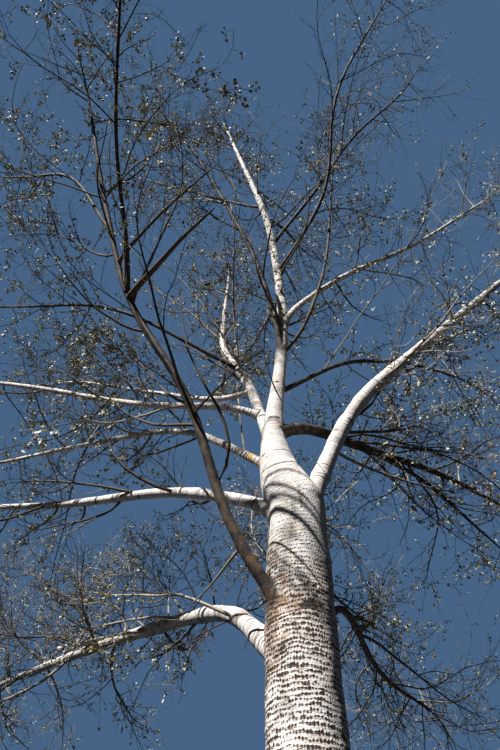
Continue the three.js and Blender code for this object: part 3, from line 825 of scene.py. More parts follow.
def scar_signs(place, distance, angle):
    """Darkness, tan and relief of the scars: ragged ovals sunk inside a raised edge."""
    dark, tan, relief = np.zeros((3, *distance.shape))
    for up, turn, half_wide, half_high, depth, darkness, brown in SCARS:
        across = ((angle - turn + np.pi) % (2 * np.pi) - np.pi) * STEM.radius(distance)
        edge = np.hypot(across / half_wide, (distance - up) / half_high)
        edge = edge + SCAR_RAGGED * rough(place / SCAR_CELL, 7)
        inside = 1 - smooth(*SCAR_SUNK, edge)
        relief += depth * (bell(edge - 1, SCAR_EDGE) - inside)
        dark += darkness * inside
        tan += brown * (1 - smooth(*SCAR_TAN, edge))
    return dark, tan, relief


def crease_signs(place, distance, angle):
    """Darkness, tan and relief of the creases: a swell with a narrow slit along it, which
    wobbles, and fades round the side away from its deepest angle. The darkness is painted
    shade in the slit."""
    dark, relief = np.zeros((2, *distance.shape))
    for up, depth, deepest in CREASES:
        facing = np.cos(angle - deepest)
        off = distance - up - CREASE_WOBBLE * rough(place / 0.09, 8) + CREASE_TILT * facing
        seen = smooth(-0.3, 0.7, facing + 0.4 * rough(place / 0.05, 9))
        here = CREASE_LEAST + (1 - CREASE_LEAST) * seen
        relief += depth * here * (bell(off, CREASE_WIDTH) - SLIT_DEPTH * bell(off, SLIT_WIDTH))
        # Painted shade in the slit
        dark += SLIT_SHADE * here * bell(off, SLIT_SHADE_WIDTH)
    return dark, 0, relief


def stem_signs(points, outward, place, distance, angle):
    """Age, darkness and tan of the stem's bark, the darkness partly painted shade in creases and joints, and
    its relief in metres.
    """
    age = 1 - AGE_LOST * smooth(OLD_BELOW, YOUNG_ABOVE, distance + AGE_WANDER * rough(place / AGE_CELL, 11))
    dark, tan, relief = (sum(part) for part in zip(
        foot_signs(place, distance),
        collar_signs(points, outward, distance),
        scar_signs(place, distance, angle),
        crease_signs(place, distance, angle),
    ))
    signs = np.stack([age, np.clip(dark, 0, 1), np.clip(tan, 0, 1)], axis=-1)
    return signs, relief + wrinkles(place, STEM_SIZE)


def stem_tube(distance, around):
    """Rings of the stem: centre + outward (radius(distance) lobe(distance, angle) + relief)."""
    centres, outward, up, angle = ring_grid(STEM.line, distance, around, np.array([1.0, 0.0, 0.0]))
    radius = STEM.radius(up) * np.where(up < TRUNK["length"], trunk_lobe(up, angle), 1)
    place = straight_place(up, angle, radius)
    points = centres + outward * radius[..., None]
    signs, relief = stem_signs(points, outward, place, up, angle)
    relief *= np.clip(radius / FULL_RELIEF_RADIUS, LEAST_RELIEF, 1)
    points = points + outward * relief[..., None]
    points[..., 2] = np.maximum(points[..., 2], 0)
    return points, place, signs


# Boughs

# Where a bough's bark starts inside its parent: a share of the parent's radius, or metres
BOUGH_START = 0.45
BOUGH_STARTS = {"right_fork": 0.36}
# Rings of a bough, closer together near the foot, and points round it by its base diameter
LEAST_ROWS = 40
ROWS_A_METRE = 30
BOUGH_CROWDING = 1.25
BOUGH_AROUND = [(0.08, 44), (YOUNG_BELOW, 30), (0.0, 18)]
# Width of the skirt where a bough swells its parent, and a share of its girth elsewhere
BLENDS = {
    "right_fork": 0.07,
    "left_low": 0.06,
    "left_fork": 0.06,
    "front_left": 0.05,
    "left_leader": 0.04,
    "right_low": 0.03,
}
BLEND_SHARE = 0.35
LEAST_BLEND = 0.008
# A skirt is looked for this many of the parent's radii, and some metres, along a bough
SKIRT_RADII = 2.2
SKIRT_BEYOND = 0.35
# How much thinner a bough ends than the solid, all in its last stretch
TIP_THINNING = 0.8
TIP_POWER = 6
# Wrinkles of a bough: their size beside its greatest radius, and how much of them shows
WRINKLE_SIZE = 1.1
WRINKLE_SHARE = 0.7
PATTERN_SHIFT = 13.7
# Knuckles: distance between them, height beside the radius, and noise seed
KNUCKLES = [(0.13, 0.07, 21), (0.04, 0.03, 22)]
# Old bud scars: distance between the rings, how far they wobble and how uneven they are,
# their width, height beside the radius and darkness
RING_SPACING = 0.11
RING_WOBBLE = 0.012
RING_UNEVEN = 0.3
RING_WIDTH = 0.0035
RING_HEIGHT = 0.03
RING_DARK = 0.75
# Painted shade at a bough's foot, in the crevice partly the dark bark ridge: width of the crevice shade above
# it, and darkness and width all round
CREVICE_SHADE_WIDTH = 0.018
FOOT_SHADE = 0.2
FOOT_SHADE_WIDTH = 0.04
# Boughs seen from their shaded side, which take the dark young bark as painted shade, partly brown bark, and
# how old or tan the others' feet are
SHADED_BOUGHS = {"front_left", "front_high", "right_back", "right_back_low", "right_low"}
BOUGH_AGE = {"left_low": 0.7, "left_fork": 0.35, "right_fork": 0.3, "left_mid": 0.6}
BOUGH_AGE_ELSEWHERE = 0.25
BOUGH_AGE_REACH = 2.5
YOUNGEST = 0.12
BOUGH_TAN = {"front_left": 1.0, "right_low": 0.5, "right_back": 0.4, "left_mid": 0.8}
BOUGH_TAN_REACH = 0.6
TAN_BEYOND = 0.12
# Lichen on a bough: its name, the distance along it and the half length of the patch
LICHENS = [("left_low", 3.22, 0.17), ("left_mid", 0.32, 0.04)]
LICHEN_PEAK = 1.6


def bough_rows(limb, start):
    """Distances of a bough's rings, closer together near its foot."""
    count = int(LEAST_ROWS + ROWS_A_METRE * limb.length)
    return start + (limb.length - start) * (np.arange(count + 1) / count) ** BOUGH_CROWDING


def bough_rings(limb, place, up):
    """Thin dark rings of old bud scars: narrow bells at wobbling, uneven distances, each
    one broken by noise round the bough."""
    height = (up + RING_WOBBLE * rough(place / 0.07, 31)) / RING_SPACING
    number = np.round(height)
    # The odd factors and shifts only give every ring its own noise
    key = np.stack([number, 0 * number + limb.at * 10, 0 * number], axis=-1)
    off = (height - number - RING_UNEVEN * rough(key * 1.37, 32)) * RING_SPACING
    kept = smooth(0.0, 0.3, rough(key * 2.11 + 5, 33) + 0.8 * rough(place / 0.06, 34) + 0.15)
    return kept * bell(off, RING_WIDTH)


def bough_signs(limb, place, up, rings, gap, upper):
    """Age, darkness and tan of a bough's bark: painted shade in the crevice above its foot,
    partly the dark bark ridge, and all round its foot, dark in its rings, tan round its
    foot, and tan above 1 where lichen grows."""
    age = BOUGH_AGE.get(limb.name, BOUGH_AGE_ELSEWHERE) * np.exp(-up / BOUGH_AGE_REACH) + YOUNGEST
    # Painted shade in the crevice and round the foot; the rings are dark bark
    dark = upper * bell(gap, CREVICE_SHADE_WIDTH) + FOOT_SHADE * bell(gap, FOOT_SHADE_WIDTH) + RING_DARK * rings
    tan = BOUGH_TAN.get(limb.name, 0.0) * (TAN_BEYOND + (1 - TAN_BEYOND) * bell(up, BOUGH_TAN_REACH))
    for name, centre, half in LICHENS:
        if name == limb.name:
            tan = np.maximum(tan, LICHEN_PEAK * bell(up - centre, half) + 0.25 * rough(place / 0.03, 35))
    return np.stack([age, np.clip(dark, 0, 1), np.clip(tan, 0, 2)], axis=-1)


def bough_tube(limb):
    """Rings of a bough: its tapering radius, thinner at the tip, with knuckles, folds and
    a skirt that flows on to its parent's surface."""
    surface, at = surface_of(limb.parent, limb.at)
    parent_radius = float(surface.radius(at))
    distance = bough_rows(limb, BOUGH_STARTS.get(limb.name, BOUGH_START * parent_radius))
    around = next(count for base, count in BOUGH_AROUND if limb.base > base)
    reference = unit(np.cross(UP, unit(limb.line.points[-1] - limb.line.points[0])))
    centres, outward, up, angle = ring_grid(limb.line, distance, around, reference)
    radius = limb.radius(up) * (1 - TIP_THINNING * (up / limb.length) ** TIP_POWER)
    place = straight_place(up, angle, radius) + PATTERN_SHIFT * at
    rings = bough_rings(limb, place, up)
    knuckles = sum(rough(place * [0, 0, 1 / apart], seed) * height for apart, height, seed in KNUCKLES)
    relief = wrinkles(place, WRINKLE_SIZE * radius.max()) * WRINKLE_SHARE * radius / radius.max()
    relief += radius * (knuckles + RING_HEIGHT * rings)
    blend = BLENDS.get(limb.name, BLEND_SHARE * limb.base + LEAST_BLEND)
    near = distance < SKIRT_RADII * parent_radius + SKIRT_BEYOND
    flared = radius.copy()
    flared[near] = flow_into(surface, at, centres[near], outward[near], radius[near], blend)
    calm = np.clip(1 - (flared - radius) / blend, LEAST_RELIEF, 1)
    points = centres + outward * (flared + relief * calm)[..., None]
    gap = np.full(up.shape, FAR_OFF)
    gap[near] = surface_gap(points[near], surface, at)
    # The upper side of the foot, which takes the crevice's painted shade
    upper = np.clip(outward @ unit(surface.line.direction(at)) * 1.6, 0, 1)
    return points, place, bough_signs(limb, place, up, rings, gap, upper)


# Twigs: the masses' own rule, carried on


def seeded_random(seed):
    """The source's repeatable numbers from 0 to 1, from 32-bit steps that are mixed."""
    state = seed

    def draw():
        nonlocal state
        state = (state + 0x6D2B79F5) & LOW_32_BITS
        mixed = ((state ^ state >> 15) * (state | 1)) & LOW_32_BITS
        mixed ^= (mixed + (mixed ^ mixed >> 7) * (mixed | 61)) & LOW_32_BITS
        return ((mixed ^ mixed >> 14) & LOW_32_BITS) / 2**32

    return draw


def lean_away(direction, spread_degrees, turn):
    """Directions that lean from the given ones by the spread, round them by the turn."""
    direction = np.atleast_2d(direction)
    side = np.cross(UP, direction)
    side = np.where(np.linalg.norm(side, axis=1, keepdims=True) < UPRIGHT, [1.0, 0.0, 0.0], side)
    side = unit(side)
    turn = np.atleast_1d(turn)[:, None]
    dot = (direction * side).sum(-1, keepdims=True)
    around = side * np.cos(turn) + np.cross(direction, side) * np.sin(turn)
    around = around + direction * dot * (1 - np.cos(turn))
    spread = np.atleast_1d(np.radians(spread_degrees))[:, None]
    return direction * np.cos(spread) + around * np.sin(spread)


def twig_line(start, direction, length):
    """A twig starts straight, then bends upward."""
    points, aim = [start], direction
    for index, share in enumerate(TWIG["bends"]):
        if index > 0:
            aim = unit(aim + UP * TWIG["lift"])
        points.append(points[-1] + aim * length * share)
    return MiddleLine(points)


def stem_of_mass(limb):
    """The stem of a mass starts square to its bough's end and carries the line on."""
    end = limb.line.at(limb.bare)
    aim = unit(end - limb.line.at(limb.bare - limb.bare / PATH_STEPS))
    rest = limb.line.part(limb.bare, limb.length, STEM_POINTS).points[1:]
    return MiddleLine([end + aim * JOINT_GAP, end + aim * (JOINT_GAP + STEM_START), *rest])


MASSES = {row[0]: stem_of_mass(LIMBS[row[0]]) for row in BOUGHS}


def line_gaps(points, line):
    """Least distance from each point to a line of segments."""
    zero = np.zeros(len(line.points) - 1)
    return segment_gaps(points, line.points[:-1], line.points[1:], zero, zero)


def inside_space(points, own):
    """Whether points are nearer to their own mass's stem than to any other, by a margin."""
    limit = line_gaps(points, MASSES[own]) + SPACE_MARGIN
    inside = np.ones(len(points), bool)
    for name, line in MASSES.items():
        if name != own:
            inside &= line_gaps(points, line) > limit
    return inside


def limb_probes():
    """The limbs as segments, each as thick as the thicker of its ends."""
    starts, ends, radii = [], [], []
    for limb in LIMBS.values():
        count = math.ceil(limb.solid_to / PROBE_SPACING)
        points = limb.line.part(0, limb.solid_to, count).points
        widths = limb.radius(limb.solid_to * np.arange(count + 1) / count)
        starts.append(points[:-1])
        ends.append(points[1:])
        radii.append(np.maximum(widths[:-1], widths[1:]))
    return np.concatenate(starts), np.concatenate(ends), np.concatenate(radii)


PROBES = limb_probes()


def clear_of_limbs(points, radius):
    """Whether a twig of this radius would stay clear of every limb at these points."""
    starts, ends, radii = PROBES
    return segment_gaps(points, starts, ends, radii, radii) >= radius + LIMB_MARGIN


def fits(points, radius, own):
    """Whether a twig keeps to its mass's space and clear of the limbs."""
    return bool(inside_space(points, own).all() and clear_of_limbs(points, radius).all())


def grow_mass(limb, seed):
    """Side twigs and their first finer twigs, as in the solids."""
    random, line = seeded_random(seed), MASSES[limb.name]
    twigs = []
    for i in range(limb.twigs):
        place = (i + TWIG["place_start"] + TWIG["place_play"] * random()) / limb.twigs
        turn = i * GOLDEN_ANGLE + random()
        play = TWIG["spread_play"] * (random() - 0.5)
        spread = TWIG["spread_low"] + (TWIG["spread_high"] - TWIG["spread_low"]) * place + play
        share = TWIG["length_low"] + TWIG["length_play"] * random()
        length = limb.reach * (1 - TWIG["shorter"] * place) * share
        distance = place * line.length
        aim = lean_away(line.direction(distance), spread, turn)[0]
        side = twig_line(line.at(distance), aim, length)
        radius = TWIG["share"] * float(limb.radius(limb.bare + distance))
        kept = fits(side.part(0, length, TWIG["probes"]).points[1:], radius, limb.name)
        if kept:
            twigs.append((side, radius))
        start = TWIG["fine_at"] * length
        fine_aim = lean_away(side.direction(start), TWIG["fine_spread"], turn + 2 * math.pi * random())[0]
        fine_length = length * TWIG["fine_length"] * (TWIG["fine_low"] + TWIG["fine_play"] * random())
        fine = twig_line(side.at(start), fine_aim, fine_length)
        fine_radius = TWIG["share"] * radius * (1 - TWIG["taper"] * TWIG["fine_at"])
        if kept and fits(fine.part(0, fine_length, TWIG["fine_probes"]).points[1:], fine_radius, limb.name):
            twigs.append((fine, fine_radius))
    return twigs


# The last place on a twig that is read: there is still some of its last step ahead
LAST_PLACE = 0.9999
# A twig steeper than this share of upright has its rings turned from +X, not from up
STEEP = 0.9


class Twigs:
    """Many twigs at once: points (twig, step, 3), radii (twig, step) and each one's bough."""

    def __init__(self, points, radii, bough):
        self.points, self.radii, self.bough = np.asarray(points), np.asarray(radii), np.asarray(bough)

    def __len__(self):
        return len(self.points)

    def joined(self, *others):
        """These twigs and others in one group."""
        parts = ("points", "radii", "bough")
        return Twigs(*(np.concatenate([getattr(t, part) for t in (self, *others)]) for part in parts))

    def chosen(self, which):
        """The twigs that a mask picks."""
        return Twigs(self.points[which], self.radii[which], self.bough[which])

    def lengths(self):
        """The sum of each twig's steps."""
        return np.linalg.norm(np.diff(self.points, axis=1), axis=2).sum(1)

    def read(self, index, fraction):
        """Point, direction and radius at a fraction of twigs number index."""
        place = np.clip(fraction, 0, LAST_PLACE) * (self.points.shape[1] - 1)
        low = place.astype(int)
        t = (place - low)[:, None]
        a, b = self.points[index, low], self.points[index, low + 1]
        radius = self.radii[index, low] * (1 - t[:, 0]) + self.radii[index, low + 1] * t[:, 0]
        return a + (b - a) * t, unit(b - a), radius

    def tube(self, sides):
        """Rings square to each step, the last one drawn in to a point."""
        aim = unit(np.gradient(self.points, axis=1))
        helper = np.where(np.abs(aim[..., 2:]) > STEEP, [1.0, 0.0, 0.0], UP)
        first = unit(np.cross(helper, aim))
        second = np.cross(aim, first)
        angle = ring_angles(sides)[:, None]
        outward = np.cos(angle) * first[:, :, None] + np.sin(angle) * second[:, :, None]
        rings = self.points[:, :, None] + outward * self.radii[:, :, None, None]
        body = rings[:, :-1].reshape(-1, 3)
        count, kept = len(self), self.points.shape[1] - 1
        base = np.arange(count)[:, None, None] * kept * sides
        quads = (base + ring_faces(kept, sides)[None]).reshape(-1, 4)
        j = np.arange(sides)
        top = (kept - 1) * sides
        fan = np.stack([top + j, top + (j + 1) % sides], -1)[None] + base
        hub = np.broadcast_to((len(body) + np.arange(count))[:, None, None], (count, sides, 1))
        tips = np.concatenate([hub, fan], -1).reshape(-1, 3)
        return np.concatenate([body, self.points[:, -1]]), quads, tips


# How each order of twig grows: length, spread in degrees, steps, lift and wander a step,
# share of its parent's radius, greatest radius and tip radius
ORDERS = {
    "branch": {
        "length": (1.0, 2.3), "spread": (34, 62), "steps": 12, "lift": 0.055, "wander": 0.085,
        "share": 0.42, "thick": 0.014, "tip": 0.003,
    },
    "twig": {
        "length": (0.35, 1.0), "spread": (28, 58), "steps": 7, "lift": 0.055, "wander": 0.15,
        "share": 0.6, "thick": 0.0062, "tip": 0.002,
    },
    "shoot": {
        "length": (0.08, 0.24), "spread": (26, 56), "steps": 2, "lift": 0.12, "wander": 0.16,
        "share": 0.65, "thick": 0.0021, "tip": 0.001,
    },
}
WANDER_KEEP = 0.6
SHORTER_OUT = 0.45
CROWN_ROOM = 0.01
# How much denser than the rest a bough's own twigs are, where it isn't 1
DENSER = {
    "left_low": 1.6, "left_fork": 1.36, "left_mid": 1.42, "left_high": 1.35, "left_upper": 1.25,
    "left_crown": 1.2, "front_left": 1.2, "front_far": 1.4, "front_side": 1.25, "front_high": 1.1,
    "right_low": 1.2, "right_back": 1.1, "right_mid": 1.15, "right_fork": 1.15,
    "top_front": 0.95, "top_right": 0.95,
}


def children(parents, spacing, low, high, random):
    """Twig numbers, places and turns of what grows along each parent, evenly spaced."""
    lengths = parents.lengths() * by_bough(DENSER, 1.0, parents.bough)
    counts = np.floor((high - low) * lengths / spacing + random.random(len(parents))).astype(int)
    index = np.repeat(np.arange(len(parents)), counts)
    number = np.arange(len(index)) - np.repeat(np.cumsum(counts) - counts, counts)
    fraction = low + (high - low) * (number + random.random(len(index))) / np.maximum(counts[index], 1)
    turn = number * GOLDEN_ANGLE + random.random(len(parents))[index] * 2 * np.pi
    return index, fraction, turn


def grown_on(parents, order, spacing, low, high, random):
    """One order of twigs on their parents: each step adds some lift and a drifting nudge,
    so that a twig bends one way for a while; what leaves the crown's box is dropped."""
    rule = ORDERS[order]
    index, fraction, turn = children(parents, spacing, low, high, random)
    root, aim, radius = parents.read(index, fraction)
    aim = lean_away(aim, random.uniform(*rule["spread"], len(index)), turn)
    length = random.uniform(*rule["length"], len(index)) * (1 - SHORTER_OUT * fraction)
    radius = np.minimum(radius * rule["share"], rule["thick"])
    points, nudge = [root], np.zeros_like(root)
    for _ in range(rule["steps"]):
        nudge = WANDER_KEEP * nudge + random.normal(size=root.shape) * rule["wander"]
        aim = unit(aim + UP * rule["lift"] + nudge)
        points.append(points[-1] + aim * (length / rule["steps"])[:, None])
    share = np.linspace(0, 1, rule["steps"] + 1)
    radii = radius[:, None] + (np.minimum(rule["tip"], radius)[:, None] - radius[:, None]) * share
    points = np.stack(points, axis=1)
    low, high = np.array(SOLIDS_BOX[0]), np.array(SOLIDS_BOX[1])
    room = CROWN_ROOM * (high - low)
    inside = ((points > low - room) & (points < high + room)).all(axis=(1, 2))
    return Twigs(points, radii, parents.bough[index]).chosen(inside), index[inside]


BRANCH_STEPS = ORDERS["branch"]["steps"]
AXIS_FROM = 0.22
AXIS_STEPS = 24
# Bend of the masses' side twigs and of the single branches, and how thin they end:
# a radius, and a share of the radius at the root
MASS_BEND = 0.0022
MASS_TIP = 0.0022
SINGLE_BEND = 0.0013
SINGLE_TIP = 0.25


def crown_axes():
    """The boughs as lines that branches grow on, from above their foot to the tip."""
    lines = []
    for number, row in enumerate(BOUGHS):
        limb = LIMBS[row[0]]
        low = AXIS_FROM * limb.bare
        widths = limb.radius(np.linspace(low, limb.length, AXIS_STEPS + 1))
        lines.append((limb.line.part(low, limb.length, AXIS_STEPS).points, widths, number))
    return Twigs(*zip(*lines))


def bent_branches(lines, random, bend):
    """Branches from lines, their radii at both ends and bough numbers, with a gentle bend:
    normal steps summed twice along each line, and none at its root."""
    points = np.array([line.part(0, line.length, BRANCH_STEPS).points for line, *_ in lines])
    step = random.normal(size=points.shape)
    step[:, 0] = 0
    points = points + np.cumsum(np.cumsum(step, axis=1), axis=1) * bend
    radii = [np.linspace(root, tip, BRANCH_STEPS + 1) for _, root, tip, _ in lines]
    return Twigs(points, radii, [bough for *_, bough in lines])


def mass_twigs(random):
    """The side twigs of every mass by the solids' rule."""
    return bent_branches([
        (line, radius, MASS_TIP, number)
        for number, row in enumerate(BOUGHS)
        for line, radius in grow_mass(LIMBS[row[0]], FIRST_SEED + number)
    ], random, MASS_BEND)


def single_branches(table, seed):
    """The side branches of a table. Those on the trunk look like the low left bough's."""
    names = [row[0] for row in BOUGHS]
    return bent_branches([
        (
            grow_line(LIMBS[name].line.at(at), length, headings, rises),
            0.5 * base, 0.5 * SINGLE_TIP * base, names.index("left_low" if name == "trunk" else name),
        )
        for name, at, length, base, headings, rises in table
    ], np.random.default_rng(seed), SINGLE_BEND)


# Where the photo shows bark in full sun, nothing fine grows between it and the sun:
# limb, start and end of the stretch, and room beside it
SUNLIT = [
    ("stem", 3.95, 5.3, 0.05),
    ("left_low", 0.4, 3.9, 0.03),
    ("left_fork", 0.5, 3.0, 0.03),
    ("right_fork", 0.4, 3.0, 0.03),
]
SUNLIT_STEPS = 12
SUNLIT_CLEAR = 0.15


def shading(points):
    """Whether points stand between the sun and a sunlit stretch: their distance from the
    stretch, both seen from the sun, is less than the limb's radius and some room."""
    sun = heading(*KEY_FROM)
    seen = points - (points @ sun)[..., None] * sun
    found = np.zeros(points.shape[:-1], bool)
    for name, start, end, room in SUNLIT:
        limb = STEM if name == "stem" else LIMBS[name]
        line = limb.line.part(start, end, SUNLIT_STEPS).points
        wide = limb.radius(np.linspace(start, end, SUNLIT_STEPS + 1)) + room
        flat = line - (line @ sun)[:, None] * sun
        for i in range(SUNLIT_STEPS):
            along = flat[i + 1] - flat[i]
            t = np.clip((seen - flat[i]) @ along / (along @ along), 0, 1)
            gap = np.linalg.norm(seen - flat[i] - t[..., None] * along, axis=-1)
            found |= (gap < wide[i]) & ((points - line[i]) @ sun > SUNLIT_CLEAR)
    return found.any(axis=1)


CROWN_SEED = 2136
SINGLE_SEED = 54
BARE_SEED = 3
# Where on its parent each order grows, from and to, as shares of the parent's length
BRANCHES_AT = (0.0, 0.62)
TWIGS_ON_BOUGHS_AT = (0.1, 0.98)
TWIGS_ON_BRANCHES_AT = (0.2, 0.99)
SHOOTS_AT = (0.12, 1.0)
# Twigs stand further apart on a bough itself than on its branches
SPARSER_ON_BOUGHS = 1.3
# Free branches die early unless they grow this much further from an upright line
STEM_AXIS = np.array([-0.1, 0.1])
OUTWARD = 0.3


@functools.cache
def crown(branch_spacing, twig_spacing, shoot_spacing):
    """All twigs of the crown: branches, the twigs on them and the leafy shoots on those."""
    random = np.random.default_rng(CROWN_SEED)
    axes = crown_axes()
    free, _ = grown_on(axes, "branch", branch_spacing, *BRANCHES_AT, random)
    root, tip = (np.linalg.norm(free.points[:, i, :2] - STEM_AXIS, axis=1) for i in (0, -1))
    free = free.chosen(tip > root + OUTWARD)
    branches = mass_twigs(random).joined(single_branches(BRANCHES, SINGLE_SEED), free)
    sparser = SPARSER_ON_BOUGHS * twig_spacing
    on_axes, _ = grown_on(axes, "twig", sparser, *TWIGS_ON_BOUGHS_AT, random)
    on_branches, _ = grown_on(branches, "twig", twig_spacing, *TWIGS_ON_BRANCHES_AT, random)
    twigs = on_axes.joined(on_branches)
    twigs = twigs.chosen(~shading(twigs.points))
    shoots, owner = grown_on(twigs, "shoot", shoot_spacing, *SHOOTS_AT, random)
    kept = ~shading(shoots.points)
    branches = branches.joined(single_branches(BARE_BRANCHES, BARE_SEED))
    return branches, twigs, shoots.chosen(kept), owner[kept]


# Share of a bough's twigs that have a pale woolly skin
PALE = {
    "left_low": 0.6, "left_fork": 0.2, "left_mid": 0.3, "left_leader": 0.6, "left_high": 0.3,
    "right_fork": 0.5, "right_high": 0.4, "right_mid": 0.3, "right_low": 0.4, "right_back": 0.2,
}
PALE_ELSEWHERE = 0.12
BRANCH_SKIN_SEED = 6
TWIG_SKIN_SEED = 7


def pale_ones(twigs, seed):
    """Which twigs have a pale skin, dealt out by each bough's share."""
    return np.random.default_rng(seed).random(len(twigs)) < by_bough(PALE, PALE_ELSEWHERE, twigs.bough)


# Leaves

# Half outline of a leaf from stalk to tip: along and across, in leaf lengths
LEAF_OUTLINE = [(0.0, 0.0), (0.3, 0.42), (0.7, 0.29), (1.0, 0.0)]
LEAF_MIDDLE = 0.42
LEAF_FOLD = 0.08
LEAF_DROOP = 0.05
STALK = 0.5
STALK_WIDTH = 0.03
STALK_LAP = 0.02


def leaf_pattern():
    """Points and faces of one leaf: a fan round the middle of the folded blade and a stalk."""
    right = [(x, y, LEAF_FOLD) for x, y in LEAF_OUTLINE[1:-1]]
    left = [(x, -y, LEAF_FOLD) for x, y in LEAF_OUTLINE[-2:0:-1]]
    rim = [(0.0, 0.0, 0.0), *right, (1.0, 0.0, -LEAF_DROOP), *left]
    stalk = [(-STALK, 0.0, 0.0), (STALK_LAP, STALK_WIDTH, 0.0)]
    points = np.array([(LEAF_MIDDLE, 0.0, 0.0), *rim, *stalk])
    count = len(rim)
    fan = [(0, 1 + i, 1 + (i + 1) % count) for i in range(count)]
    return points, np.array([*fan, (count + 1, 1, count + 2)])


def leaf_mesh(root, aim, side, length):
    """Every leaf at once: root + aim (x + stalk) L + side y L + normal z L."""
    pattern, faces = leaf_pattern()
    normal = np.cross(aim, side)
    x = (pattern[:, 0] + STALK)[None, :, None]
    y, z = pattern[:, 1][None, :, None], pattern[:, 2][None, :, None]
    size = length[:, None, None]
    points = root[:, None] + size * (aim[:, None] * x + side[:, None] * y + normal[:, None] * z)
    offset = np.arange(len(root))[:, None, None] * len(pattern)
    return points.reshape(-1, 3), (faces[None] + offset).reshape(-1, 3)


# Share of the full count of leaves on each bough's shoots, where it isn't 1
LEAFY = {
    "top_front": 0.25, "top_right": 0.3, "right_high": 0.5, "right_fork": 0.6, "right_back": 0.7,
    "left_crown": 1.35, "left_upper": 1.35, "left_leader": 1.25, "front_left": 1.2,
    "front_side": 1.35, "front_far": 1.35, "left_low": 1.5, "left_fork": 1.25, "left_high": 1.15,
}
# Size of the leaves on the boughs nearest the ground, where they are looked at closest
SMALLER = {"left_low": 0.62, "right_low": 0.66, "left_fork": 0.85, "back_low": 0.8}
LEAF_SEED = 77
LEAVES_A_SHOOT = 9
LEAF_CHANCE = 0.62
SPRAY_ROOM = 0.4
SPRAY_SHARE = 0.45
SPRAY_EDGE = (-0.25, 0.5)
LEAF_PLACES = (0.35, 1.0)
LEAF_SPREAD = (25, 75)
LEAF_HANG = (0.3, 1.3)
LEAF_SIZES = (0.6, 1.15)


def leaves_on(shoots, owner, leaf_length):
    """Roots, directions, sides and lengths of all leaves, and a number from 0 to 1 for the
    spray each is in. Leaves crowd where noise over the crown is high, and leave the
    shoots between bare."""
    random = np.random.default_rng(LEAF_SEED)
    crowd = smooth(*SPRAY_EDGE, rough(shoots.points[:, 0] / SPRAY_ROOM, 41)) * 2 * SPRAY_SHARE
    here = random.random(len(shoots)) < crowd
    chance = LEAF_CHANCE * by_bough(LEAFY, 1.0, shoots.bough)
    counts = random.binomial(LEAVES_A_SHOOT, chance) * here
    index = np.repeat(np.arange(len(shoots)), counts)
    count = len(index)
    root, along, _ = shoots.read(index, random.uniform(*LEAF_PLACES, count))
    aim = lean_away(along, random.uniform(*LEAF_SPREAD, count), random.uniform(0, 2 * np.pi, count))
    aim = unit(aim - UP * random.uniform(*LEAF_HANG, count)[:, None])
    side = unit(np.cross(aim, random.normal(size=aim.shape)))
    length = leaf_length * by_bough(SMALLER, 1.0, shoots.bough[index])
    length *= random.uniform(*LEAF_SIZES, count)
    spray = random.random(owner.max() + 1)[owner][index]
    return root, aim, side, length, spray


# Materials


def add(owner, kind, inputs=(), out=0, **settings):
    """Adds a node to a material or world with its settings, and with values and links for
    its inputs in order or by key, and returns one of its outputs."""
    tree = owner.node_tree
    made = tree.nodes.new("ShaderNode" + kind)
    for name, value in settings.items():
        setattr(made, name, value)
    for key, value in inputs.items() if isinstance(inputs, dict) else enumerate(inputs):
        if isinstance(value, bpy.types.NodeSocket):
            tree.links.new(value, made.inputs[key])
        else:
            made.inputs[key].default_value = value
    return made.outputs[out] if len(made.outputs) else made


def new_material(name):
    """A material with an empty node tree."""
    material = bpy.data.materials.new(name)
    material.use_nodes = True
    material.node_tree.nodes.clear()
    return material


def finish_material(material, base, roughness, normal=None, specular=0.35):
    """Ends a material in its shader, whose sockets take a plain value or a node's output."""
    inputs = {"Base Color": base, "Roughness": roughness, "Specular IOR Level": specular}
    if normal is not None:
        inputs["Normal"] = normal
    shader = add(material, "BsdfPrincipled", inputs)
    add(material, "OutputMaterial", {"Surface": shader})
    return material


def rgba(values):
    """A colour with full opacity."""
    return (*values, 1.0)


# A MapRange node lists its value, the range it is read in and the range it is turned to


def read_bark(m):
    """The place on a straightened limb, and the bark's age, darkness and tan there."""
    place, signs = (
        add(m, "Attribute", attribute_name=name, out=1) for name in ("bark_place", "bark_signs")
    )
    return place, *add(m, "SeparateXYZ", [signs]).node.outputs


def cut_in_cells(m, value):
    """The number of the cell that a value lies in, and how far it is off the cell's middle."""
    number = add(m, "Math", [value], operation="FLOOR")
    within = add(m, "Math", [value], operation="FRACT")
    return number, add(m, "Math", [within, 0.5], operation="SUBTRACT")


def off_pore(m, off_cell, dealt, reach):
    """Distance from a pore, which a number from 0 to 1 moves off its cell's middle."""
    moved = add(m, "MapRange", [dealt, 0.0, 1.0, -reach, reach])
    off = add(m, "Math", [off_cell, moved], operation="ADD")
    return add(m, "Math", [off], operation="ABSOLUTE")


